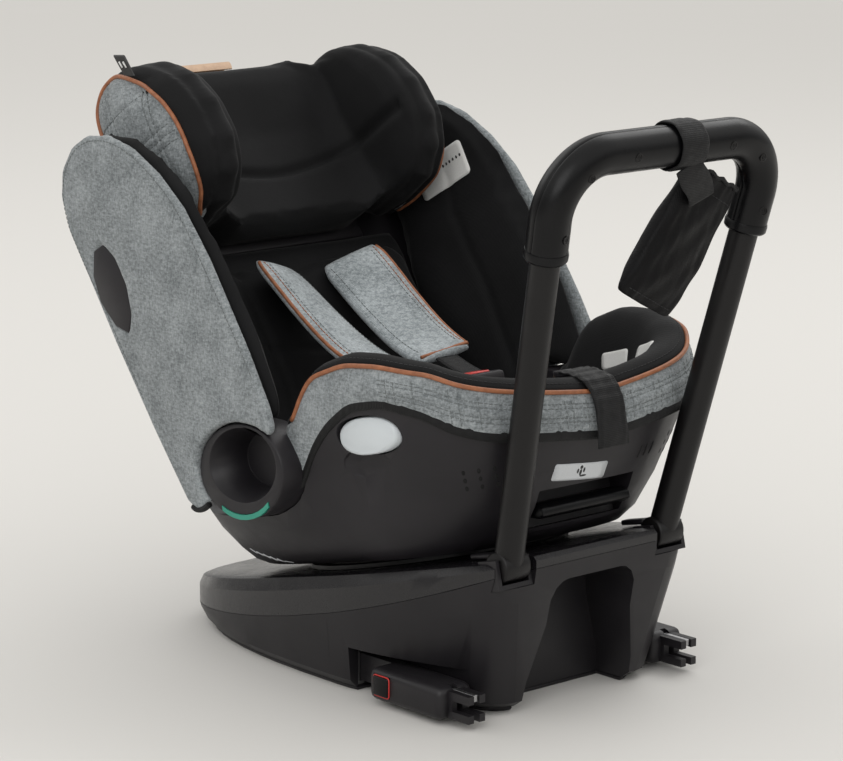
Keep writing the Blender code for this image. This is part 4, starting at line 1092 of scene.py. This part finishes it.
def rim_bolster():
    """Black padded top of the rim, from the piping over into the seat."""
    rings = []
    for row in RIM_FRAMES:
        low, piping, front = row[4:]
        top = piping + 0.009 * (1.0 - front) + 0.013 * front
        profile = [(0.0004, piping + 0.0004), (0.0015, piping + 0.0050), (0.010, top + 0.0012),
                   (0.0205, top + 0.0022), (0.033, top - 0.0030), (0.046, piping - 0.013),
                   (0.057, 0.148 - 0.003 * front), (0.062, 0.137 - 0.004 * front), (0.058, 0.121),
                   (0.036, max(0.1075, low)), (0.0085, max(0.112, low + 0.006)), (0.0080, piping - 0.006)]
        rings.append([rim_point(row, step, h) for step, h in smooth_line(profile, 40, closed=True)])
    return Shape().skin(rings).piece("rim_bolster", BLACK_CLOTH, "seat", "black_fabric", ("seat_rim",), 0.8)


def rim_trim(band, bolster):
    """Piping, stitches and the elastic edge of the rim."""
    piping = Shape().tube([rim_point(row, -0.0014, row[5] + 0.0006) for row in RIM_FRAMES[3:-3]], 0.0023)
    piping.piece("rim_piping", COPPER_LEATHER, "seat", "accent_leather")
    section = ((0.004, -0.0050), (-0.0010, -0.0052), (-0.0020, -0.0030), (-0.0022, 0.0010), (-0.0018, 0.0040),
               (-0.0006, 0.0048), (0.004, 0.0044))
    rings = [[rim_point(row, step, row[4] - 0.0004 + h) for step, h in section] for row in RIM_FRAMES]
    Shape().skin(rings).piece("rim_elastic_edge", ELASTIC_CLOTH, "seat", "webbing")
    rows = [row for row, distance in zip(RIM_FRAMES, RIM_LENGTH) if abs(distance - RIM_MIDDLE) < 0.232]
    runs = [[band_point(row, -0.012, height) for row in rows] for height in QUILT_HEIGHTS]
    for start in np.arange(-4, 4) * QUILT_PITCH:
        for at in QUILT_STEPS:
            if abs(start + at) <= 0.225:
                distance = RIM_MIDDLE + start + at
                row = np.array([np.interp(distance, RIM_LENGTH, column) for column in RIM_FRAMES.T])
                runs.append([band_point(row, -0.012, height) for height in np.linspace(0.1, 0.9, 20)])
    middle = seat(0.0, 0.06, 0.13)
    sew("rim_quilt_stitches", GREY_THREAD, "grey_fabric", "seat", surface_of(band), runs,
        lambda point: point - middle)
    run = [rim_point(row, 0.0045, row[5] + 0.03) for row in RIM_FRAMES[6:-6]]
    sew("rim_top_stitches", BLACK_THREAD, "black_fabric", "seat", surface_of(bolster), [run], DECK_UP)


# ---------------------------------------------------------------- harness
def beside(line, i, x, lift, facing=(0.0, 1.0)):
    """World point lifted off a strap's centre line in (f, h) to the side it faces, and that direction."""
    along = way_at(line, i)
    up = Vector((-along.y, along.x))
    if up.dot(Vector(facing)) <= 0.0:
        up = -up
    return seat(x, line[i][0] + up.x * lift, line[i][1] + up.y * lift), DECK_FORWARD * up.x + DECK_UP * up.y


def shoulder_pad(side_name, side):
    """Grey pad round the shoulder strap: crowned, bound with copper leather on its outer edge and end."""
    line = smooth_line([(-0.133, 0.302), (-0.109, 0.278), (-0.077, 0.2455), (-0.0445, 0.2165),
                        (-0.018, 0.1985), (0.004, 0.1895)], 49)
    last = len(line) - 1

    def pad_point(i, u, v):
        """World point of the pad: u across and v up, rolled about its line."""
        share = i / last
        roll = side * math.radians(22.0 - 15.0 * share)
        x = side * (0.050 - 0.007 * share) + u * math.cos(roll) - v * math.sin(roll)
        return beside(line, i, x, u * math.sin(roll) + v * math.cos(roll))[0]

    rings = []
    halves = []
    for i in range(last + 1):
        ends = 1.0 - (2.0 * i / last - 1.0) ** 10
        halves.append(0.0355 * (0.84 + 0.16 * ends))
        thick = 0.0078 * (0.45 + 0.55 * ends ** 0.5)
        rings.append([pad_point(i, halves[i] * u, thick * v * (1.0 - 0.10 * abs(u) ** 3))
                      for u, v in oval(1.0, 1.0, 28, 2.9)])
    # Painted light: the pad takes the lighter copy of the grey cloth.
    pad = Shape().skin(rings).piece("shoulder_cover_" + side_name, PAINTED_LIGHT_GREY_CLOTH, "seat", "grey_fabric",
                                    ("shoulder_pad_" + side_name,), 0.7)
    tree = surface_of(pad)
    binding = Shape()
    binding.tube([pad_point(i, side * (halves[i] - 0.0010), 0.0022) for i in range(1, last)], 0.0019, 8)
    end = [pad_point(last - 1, halves[last - 1] * u * 0.97, 0.0040) for u in np.linspace(-1.0, 1.0, 15)]
    binding.tube(end, 0.0019, 8)
    ups = DECK_UP * 0.75 + DECK_FORWARD * 0.65 - X_AXIS * (side * 0.25)
    spots, normals = lay_line(tree, [pad_point(i, side * 0.0275, 0.012) for i in range(1, last)], ups, 0.0001)
    stitch_run(binding, spots, normals, 0.0034, 0.0013, 0.0006)
    binding.piece("shoulder_binding_" + side_name, COPPER_LEATHER, "seat", "accent_leather")
    runs = [[pad_point(i, side * across, 0.012) for i in range(2, last - 1)] for across in (-0.0270, 0.0225)]
    sew("shoulder_stitches_" + side_name, GREY_THREAD, "grey_fabric", "seat", tree, runs, ups)


def harness_strap(side_name, side):
    """Flat woven shoulder strap with rounded edges and two rows of edge stitching."""
    rows = 33
    half = 0.0145
    thick = 0.0030
    line = smooth_line([(-0.016, 0.1955), (0.0, 0.188), (0.025, 0.1775), (0.048, 0.1695), (0.064, 0.166)],
                       rows)
    section = ((-1.0, 0.0), (-0.94, -0.8), (-0.5, -1.0), (0.5, -1.0), (0.94, -0.8), (1.0, 0.0), (0.94, 0.8),
               (0.5, 1.0), (0.0, 1.08), (-0.5, 1.0), (-0.94, 0.8))
    middles = [side * (0.048 - 0.020 * i / (rows - 1)) for i in range(rows)]
    rings = [[beside(line, i, x + u * half, v * thick * 0.5)[0] for u, v in section]
             for i, x in enumerate(middles)]
    Shape().skin(rings).piece("harness_strap_" + side_name, STRAP_CLOTH, "seat", "webbing",
                              ("shoulder_strap_" + side_name,))
    threads = Shape()
    for sign in (-1.0, 1.0):
        edge = [beside(line, i, x + sign * half * 0.80, thick * 0.5) for i, x in enumerate(middles)]
        stitch_run(threads, *zip(*edge), 0.0026, 0.0014, 0.00034)
    threads.piece("harness_strap_" + side_name + "_stitches", BLACK_THREAD, "seat", "webbing")


def harness():
    """Shoulder pads and straps, crotch pad and the flap over the adjuster."""
    for side_name, side in SIDES:
        shoulder_pad(side_name, side)
        harness_strap(side_name, side)
    rings = []
    for share in np.linspace(0.0, 1.0, 25):
        ends = (1.0 - (2.0 * share - 1.0) ** 8) ** 0.5
        h = 0.1438 + 0.0006 * math.sin(share * math.pi)
        half = 0.0305 * (0.90 + 0.10 * ends)
        rings.append([seat(u * half, 0.060 + 0.068 * share, h + v * (0.0012 + 0.0024 * ends))
                      for u, v in oval(1.0, 1.0, 24, 3.2)])
    Shape().skin(rings).piece("crotch_cover", BLACK_CLOTH, "seat", "black_fabric", ("crotch_pad",), 0.6)
    rings = []
    for share in np.linspace(0.0, 1.0, 15):
        h = 0.1480 + 0.0015 * math.sin(share * math.pi)
        rings.append([seat(u * (0.021 - 0.004 * share), 0.122 + 0.058 * share, h + v * 0.0012)
                      for u, v in oval(1.0, 1.0, 16, 3.0)])
    Shape().skin(rings).piece("crotch_tab", TAN_LEATHER, "seat", "accent_leather")
    line = smooth_line([(0.228, 0.1615), (0.240, 0.1600), (0.252, 0.1560), (0.2625, 0.1475), (0.2690, 0.134),
                        (0.2700, 0.112), (0.2675, 0.088)], 61)
    rings = []
    for i in range(61):
        share = i / 60
        ruck = 0.0007 * math.sin(share * 60.0) * (1.0 - share) + 0.0004 * math.sin(share * 23.0)
        half = 0.0200 - 0.0012 * math.sin(share * math.pi)
        ring = []
        for u, v in oval(1.0, 1.0, 28, 3.6):
            wave = 0.0005 * math.sin(u * 17.0 + share * 9.0)
            lift = v * 0.0017 + (ruck + wave) * (v > 0.0) + 0.0006
            ring.append(beside(line, i, u * half, lift, (1.0, 0.0))[0])
        rings.append(ring)
    Shape().skin(rings).piece("adjuster_cover", STRAP_CLOTH, "seat", "webbing", ("adjuster_flap",))


# ---------------------------------------------------------------- rebound bar
BAR_HEIGHT = 0.405
BAR_TOP_HALF = 0.133
BAR_FOOT_X = 0.102
SHROUD_RADIUS = 0.0195
SHROUD_INSIDE = 0.0148
TOP_CORNER = 0.054
BAR_SPLAY = math.atan2(BAR_TOP_HALF - BAR_FOOT_X, BAR_HEIGHT - TOP_CORNER)
LOOP_X = 0.015
POUCH_TOP = (0.056, 0.350)
POUCH_BOTTOM = (0.005, 0.250)


def storage_pouch():
    """Nylon pouch: closed and fuller at its bottom, gathered at its mouth, with soft folds."""
    along = Vector((POUCH_BOTTOM[0] - POUCH_TOP[0], POUCH_BOTTOM[1] - POUCH_TOP[1]))
    across = Vector((-along.y, along.x)).normalized()

    def pouch_point(share, sideways, out, rise=0.0):
        """World point at a share down the pouch, a step sideways and one outwards."""
        spot = Vector(POUCH_TOP) + along * share + across * sideways
        return bar(spot.x, spot.y + rise, out)

    rings = []
    for share in np.linspace(-0.22, 1.0, 53):
        half = along_table([(-0.22, 0.0350), (-0.1, 0.0375), (0.12, 0.0395), (0.5, 0.0415),
                            (0.85, 0.0420), (0.96, 0.0412), (1.0, 0.0385)], share)
        depth = along_table([(-0.22, 0.0128), (-0.1, 0.0105), (0.12, 0.0125), (0.5, 0.0158),
                             (0.80, 0.0135), (0.95, 0.0075), (1.0, 0.0045)], share)
        ring = []
        for u, v in oval(1.0, 1.0, 64, 2.7):
            fold = 0.0011 * math.sin(u * 9.0 + share * 14.0)
            fold += 0.0008 * math.sin(u * 21.0 - share * 6.0 + v * 2.0)
            gather = 0.0009 * math.sin(math.atan2(v, u) * 26.0) * max(0.0, 1.0 - max(share + 0.2, 0.0) / 0.22)
            sag = 0.0018 * math.sin(share * 11.0 + u * 2.5)
            ring.append(pouch_point(share, (half + gather) * u,
                                    (depth + fold * 0.8 + gather + sag * 0.5) * v + 0.0025))
        rings.append(ring)
    pouch = Shape().skin(rings).piece("pouch_bag", NYLON_CLOTH, "rebound_bar", "webbing",
                                      ("storage_pouch",), 0.3, 1)
    runs = [[pouch_point(share, 0.038 * u, 0.03) for u in np.linspace(-0.92, 0.92, 30)]
            for share in (0.93, -0.06)]
    sew("pouch_stitches", BLACK_THREAD, "webbing", "rebound_bar", surface_of(pouch), runs, BAR_OUT, 0.0002,
        0.003, 0.0015, 0.0004)
    mouth = [pouch_point(-0.21, 0.0355 * u, 0.0130 * v + 0.0025, 0.0014 * math.sin(math.atan2(v, u) * 13.0))
             for u, v in oval(1.0, 1.0, 64, 2.7)]
    hem = Shape().tube(mouth, 0.0019, 8, closed=True)
    hem.piece("pouch_mouth_hem", ELASTIC_CLOTH, "rebound_bar", "webbing")


def pouch_loop():
    """Hook-and-loop strap round the bar's top, its overlap hanging down to the pouch's mouth."""
    rings = []
    for turn in np.linspace(0.0, 2.0 * math.pi, 49)[:-1]:
        radius = SHROUD_RADIUS + 0.0026 + 0.0004 * math.sin(turn * 7.0)
        way = BAR_UP * math.cos(turn) + BAR_OUT * math.sin(turn)
        rings.append([bar(LOOP_X + 0.0172 * u, BAR_HEIGHT)
                      + way * (radius + (0.0014 + 0.0004 * math.sin(u * 11.0 + turn * 5.0)) * v)
                      for u, v in oval(1.0, 1.0, 18, 3.4)])
    Shape().skin(rings, closed_length=True).piece("pouch_strap", STRAP_CLOTH, "rebound_bar", "webbing",
                                                  ("pouch_loop",))
    path = [bar(*point) for point in
            smooth_line([(0.013, 0.392, 0.0185), (0.019, 0.382, 0.0200), (0.029, 0.373, 0.0192),
                         (0.037, 0.364, 0.0178), (0.041, 0.355, 0.0172)], 25)]
    rings = []
    for i, point in enumerate(path):
        along = way_at(path, i)
        normal = (BAR_OUT - along * BAR_OUT.dot(along)).normalized()
        side = along.cross(normal)
        rings.append([point + side * (0.0160 * u) + normal * (0.0012 * v)
                      for u, v in oval(1.0, 1.0, 16, 3.2)])
    Shape().skin(rings).piece("pouch_hanger", STRAP_CLOTH, "rebound_bar", "webbing")


def leg_x(rise):
    """Half width of the bar at a rise up its straight legs."""
    return BAR_FOOT_X + math.tan(BAR_SPLAY) * rise


def bar_line(start, steps):
    """Centre line of the bar: up one leg, round the top and down the other."""
    corner_base = BAR_HEIGHT - TOP_CORNER
    points = [(leg_x(rise), rise) for rise in np.linspace(start, corner_base - 0.012, 8)]
    centre = BAR_TOP_HALF - TOP_CORNER
    for turn in np.linspace(-BAR_SPLAY * 0.5, math.pi / 2.0, steps):
        points.append((centre + TOP_CORNER * math.cos(turn), corner_base + TOP_CORNER * math.sin(turn)))
    points += [(centre * share, BAR_HEIGHT) for share in (0.75, 0.5, 0.25, 0.0)]
    points += [(-u, v) for u, v in reversed(points[:-1])]
    return [bar(u, v) for u, v in points]


def half_round(radius, start, end, count):
    """Points (u, v) on an arc between two angles in degrees."""
    return [(radius * math.cos(t), radius * math.sin(t)) for t in np.radians(np.linspace(start, end, count))]


def rebound_bar():
    """Round steel tube with its foot barrels, and the two half shrouds over its top."""
    tube = Shape().tube(bar_line(0.002, 25), 0.014, 40, up=BAR_OUT)
    for _, side in SIDES:
        middle = bar(side * BAR_FOOT_X, 0.0)
        tube.skin([round_ring(middle + X_AXIS * x, BAR_UP, BAR_OUT, size, 48) for x, size in
                   ((-0.0160, 0.0125), (-0.0152, 0.0145), (-0.0138, 0.0151), (0.0138, 0.0151),
                    (0.0152, 0.0145), (0.0160, 0.0125))])
    sharpen(tube.piece("bar_tube", BLACK_STEEL, "rebound_bar", "black_steel", ("rebound_tube",)), 50.0)
    line = bar_line(0.314, 25)
    section = [(0.0190, 0.0002)] + half_round(SHROUD_RADIUS, 3.0, 177.0, 30)
    section += [(-0.0190, 0.0002), (-SHROUD_INSIDE, 0.0002)] + half_round(SHROUD_INSIDE, 174.0, 6.0, 16)
    section += [(SHROUD_INSIDE, 0.0002)]
    for name, sign in (("outer", 1.0), ("inner", -1.0)):
        rings = []
        for i, point in enumerate(line):
            way = BAR_OUT.cross(way_at(line, i)).normalized()
            rings.append([point + way * u + BAR_OUT * (sign * v) for u, v in section])
        sharpen(Shape().skin(rings).piece("bar_shroud_" + name, BAR_PLASTIC, "rebound_bar", "bar_plastic",
                                          ("rebound_shroud_" + name,)), 50.0)


def screw(heads, sockets, place, out):
    """A sunk screw: a dished head, with a dark plug of painted shade for the socket in it."""
    side = out.orthogonal().normalized()
    other = out.cross(side)
    radius = 0.0034

    def ring(size, height, count=20):
        return round_ring(place + out * height, side, other, radius * size, count)

    heads.skin([ring(size, height) for size, height in
                ((1.25, -0.0008), (1.25, 0.0003), (1.02, 0.0004), (0.95, -0.0001), (0.60, 0.0002),
                 (0.50, -0.0003))])
    # Painted shade: the socket is a dark plug in the dished head, standing for the shade in the recess.
    sockets.skin([ring(0.46, -0.0004, 6), ring(0.46, 0.0001, 6)])


def bar_details():
    """Screws on both sides of the shroud, and collars at its lower ends."""
    heads = Shape()
    sockets = Shape()
    for name, sign in (("outer", 1.0), ("inner", -1.0)):
        tree = surface_of(frame["nodes"]["rebound_shroud_" + name])
        for x, rise in ((-0.128, 0.335), (-0.110, 0.391), (-0.055, 0.4055), (0.068, 0.4055), (0.112, 0.390),
                        (0.128, 0.335)):
            screw(heads, sockets, *land(tree, bar(x, rise, 0.03 * sign), BAR_OUT * sign, 0.04))
    sharpen(heads.piece("shroud_screws", BLACK_STEEL, "rebound_bar", "black_steel"))
    sharpen(sockets.piece("shroud_screw_socket_shade", PAINTED_HOLE_SHADE, "rebound_bar", "bar_plastic"))
    collars = Shape()
    for _, side in SIDES:
        along = (bar(side * leg_x(0.4), 0.4) - bar(side * leg_x(0.3), 0.3)).normalized()
        u_way = (X_AXIS - along * X_AXIS.dot(along)).normalized()
        v_way = along.cross(u_way)
        collars.skin([round_ring(bar(side * leg_x(rise), rise), u_way, v_way, size, 40) for rise, size in
                      ((0.3085, 0.0150), (0.3095, 0.0186), (0.3115, 0.0203), (0.3165, 0.0206),
                       (0.3190, 0.0200), (0.3195, 0.0155))])
    sharpen(collars.piece("shroud_collars", BAR_PLASTIC, "rebound_bar", "bar_plastic"))


def isofix_details():
    """Thin red surround of each ISOFIX release button."""
    for side_name, side in SIDES:
        outline = rounded_box(0.0222, 0.0202, 0.0030, 5)
        path = [Vector((side * 0.1633, -0.098 + u, 0.022 + v)) for u, v in outline]
        Shape().tube(path, 0.0007, 8, closed=True).piece("isofix_button_surround_" + side_name, RED_PLASTIC,
                                                         "isofix_arm_" + side_name, "button_red")


SINGLE_HARD_PIECES = (
    ("base_sole", BASE_PLASTIC, 0.0015), ("base_housing", BASE_PLASTIC, 0.0022),
    ("base_deck", DECK_PLASTIC, 0.0022),
    ("turntable_outer_race", BLACK_STEEL, 0.0006), ("turntable_plate", BLACK_STEEL, 0.0006),
    ("recline_cradle", BLACK_STEEL, 0.0010), ("seat_shell", SHELL_PLASTIC, 0.0012),
    ("back_shell", SHELL_PLASTIC, 0.0025), ("headrest_shell", SHELL_PLASTIC, 0.0008),
    ("recline_handle", BAR_PLASTIC, 0.0), ("buckle_body", SHELL_PLASTIC, 0.0005),
    ("buckle_button", RED_PLASTIC, 0.0), ("harness_adjuster_button", SHELL_PLASTIC, 0.0),
)
PAIRED_HARD_PIECES = (
    ("rebound_socket_", BASE_PLASTIC, 0.0010), ("rebound_latch_", BASE_PLASTIC, 0.0),
    ("isofix_arm_", BASE_PLASTIC, 0.0008), ("isofix_jaw_", PLATED_STEEL, 0.0004),
    ("isofix_button_", BAR_PLASTIC, 0.0), ("belt_guide_", SHELL_PLASTIC, 0.0008),
    ("side_pod_", SHELL_PLASTIC, 0.0), ("rotation_button_", BUTTON_PLASTIC, 0.0),
    ("headrest_rod_", PLATED_STEEL, 0.0006), ("belt_marker_", TEAL_PLASTIC, 0.0),
)


def refine_hard_pieces():
    """Finer copies of the plastic and metal pieces that show."""
    for node, look, width in SINGLE_HARD_PIECES:
        refine(node, look, width)
    for node, look, width in PAIRED_HARD_PIECES:
        for side_name, _ in SIDES:
            refine(node + side_name, look, width)


# ---------------------------------------------------------------- labels, vents and marks on the plastics
def shell_details():
    """Vents as dark patches of painted shade, the recline plate and its mark, and the level ticks of the lower
    shell.
    """
    shell = surface_of(frame["nodes"]["seat_shell"])
    # Each vent opening is a dark patch on the shell: painted shade in place of the hole.
    vents = Shape()
    for _, side in SIDES:
        for row in range(3):
            for column in range(3):
                place = seat(side * (0.134 - 0.012 * column), 0.205 + 0.0085 * column, 0.0865 - 0.0078 * row)
                spot, normal = land(shell, place, X_AXIS * side * 0.75 + DECK_FORWARD * 0.66, 0.04)
                patch(vents, shell, spot, normal, DECK_UP, oval(0.0017, 0.0027, 14), 0.0002, 2)
    slot = rounded_box(0.0026, 0.0130, 0.0012)
    for k in range(3):
        place = seat(0.063 + 0.0095 * k, 0.235, 0.0760)
        spot, normal = land(shell, place, DECK_FORWARD - DECK_UP * 0.45, 0.04)
        patch(vents, shell, spot, normal, DECK_UP + X_AXIS * 0.15, slot, 0.0002, 2)
    vents.piece("shell_vent_shade", PAINTED_HOLE_SHADE, "seat", "shell_plastic")
    plate_out = DECK_FORWARD - DECK_UP * 0.5
    plate = Shape()
    patch(plate, shell, seat(-0.0180, 0.2370, 0.0685), plate_out, DECK_UP + X_AXIS * 0.08,
          rounded_box(0.068, 0.0175, 0.0025), 0.0006, 4)
    front = surface_of(plate.piece("recline_plate", GREY_PRINT, "seat", "button_grey"))
    mark = Shape()
    for x, h, half_u, half_v in ((-0.018, 0.0042, 0.0018, 0.0018), (-0.018, -0.0008, 0.0014, 0.0034),
                                 (-0.0140, -0.0042, 0.0042, 0.0010), (-0.0218, 0.0010, 0.0012, 0.0026),
                                 (-0.0140, 0.0012, 0.0012, 0.0026)):
        patch(mark, front, seat(x, 0.2370 + h * 0.5, 0.0685 + h), plate_out, DECK_UP,
              oval(half_u, half_v, 14), 0.0002, 2)
    mark.piece("recline_plate_mark", BLACK_PRINT, "seat", "shell_plastic")
    ticks = Shape()
    tick = rounded_box(0.0034, 0.0095, 0.0008, 2)
    for _, side in SIDES:
        for k in range(6):
            share = k / 5
            place = seat(side * (0.152 - 0.012 * share), -0.103 + 0.040 * share, 0.0265 - 0.0135 * share)
            spot, normal = land(shell, place, X_AXIS * side * 0.8 - DECK_UP * 0.45 - DECK_FORWARD * 0.3, 0.03)
            patch(ticks, shell, spot, normal, DECK_UP - DECK_FORWARD * 0.35, tick, 0.0003, 2)
    ticks.piece("level_ticks", GREY_PRINT, "seat", "button_grey")


def wing_label(wing):
    """Plain white label with a dotted line on the right wing's inner face."""
    tree = surface_of(wing)
    label = Shape()
    up = BACK_UP + BACK_FORWARD * 0.05
    spot, normal = land(tree, back(0.15, 0.044, 0.397), X_AXIS * -1.0 + BACK_FORWARD * 0.35, 0.10)
    patch(label, tree, spot, normal, up, rounded_box(0.068, 0.040, 0.005), 0.0006, 6)
    tree = surface_of(label.piece("height_label", WHITE_PRINT, "seat", "black_fabric"))
    dots = Shape()
    across = up.cross(normal).normalized()
    for k in range(12):
        place = spot + across * (-0.0275 + 0.0050 * k) + up * 0.004
        patch(dots, tree, place, normal, up, oval(0.0012, 0.0018, 10), 0.0003, 2)
    dots.piece("height_label_dots", BLACK_PRINT, "seat", "black_fabric")


def bolster_labels(bolster):
    """Two plain white patches on the right of the bolster."""
    tree = surface_of(bolster)
    labels = Shape()
    along = seat(0.131, 0.198, 0.1625) - seat(0.147, 0.141, 0.1560)
    for x, f, h, length in ((0.147, 0.141, 0.156, 0.042), (0.131, 0.198, 0.1625, 0.036)):
        spot, normal = land(tree, seat(x, f, h), DECK_UP * 0.7 - X_AXIS * 0.7, 0.04)
        patch(labels, tree, spot, normal, along, rounded_box(0.017, length, 0.004), 0.0004, 4)
    labels.piece("bolster_labels", WHITE_PRINT, "seat", "black_fabric")


# ---------------------------------------------------------------- put together
add_camera()
repaint_nodes()

wing_left = wing_pads()
headrest_cloth = headrest_pad()
cushion_bottom, cushion_rear = seat_cushions()
run_simulation()

for side_label, side_sign in SIDES:
    cover_trim(side_label, side_sign, side_cover(side_label, side_sign))
wing_right = finish_wings(wing_left)
finish_headrest(headrest_cloth)
for side_label, side_sign in SIDES:
    head_cap(side_label, side_sign, headrest_cloth)
headrest_trim()
finish_cushions(cushion_bottom, cushion_rear)
upper_back_panel()
rim_band_piece = rim_band()
rim_bolster_piece = rim_bolster()
rim_trim(rim_band_piece, rim_bolster_piece)
harness()
storage_pouch()
pouch_loop()
rebound_bar()
bar_details()
isofix_details()
refine_hard_pieces()
shell_details()
wing_label(wing_right)
bolster_labels(rim_bolster_piece)

floor_mesh = bmesh.new()
bmesh.ops.create_circle(floor_mesh, cap_ends=True, segments=96, radius=30.0)
floor_data = bpy.data.meshes.new("studio_floor")
floor_mesh.to_mesh(floor_data)
floor_mesh.free()
floor_data.materials.append(floor_paint())
floor = new_object("studio_floor", floor_data)

bpy.context.scene.view_settings.view_transform = "Standard"
world = bpy.data.worlds.new("studio")
world.use_nodes = True
sky = world.node_tree.nodes
direction = sky.new("ShaderNodeTexCoord")
parts = sky.new("ShaderNodeSeparateXYZ")
height = sky.new("ShaderNodeMapRange")
height.interpolation_type = "SMOOTHSTEP"
for socket_name, amount in (("From Min", 0.02), ("From Max", 0.50), ("To Min", 0.28), ("To Max", 1.00)):
    height.inputs[socket_name].default_value = amount
sky["Background"].inputs["Color"].default_value = (0.965, 0.957, 0.935, 1.0)
world.node_tree.links.new(direction.outputs["Generated"], parts.inputs[0])
world.node_tree.links.new(parts.outputs["Z"], height.inputs["Value"])
world.node_tree.links.new(height.outputs["Result"], sky["Background"].inputs["Strength"])
bpy.context.scene.world = world
add_area("key", (2.6, 0.6, 3.2), (0.0, 0.0, 0.3), 2.2, 27.0)
add_area("front_left", (-2.8, -2.2, 2.2), (0.0, 0.0, 0.3), 2.4, 36.0)
add_area("rear", (-0.6, 3.2, 2.6), (0.0, 0.1, 0.3), 2.0, 10.0)
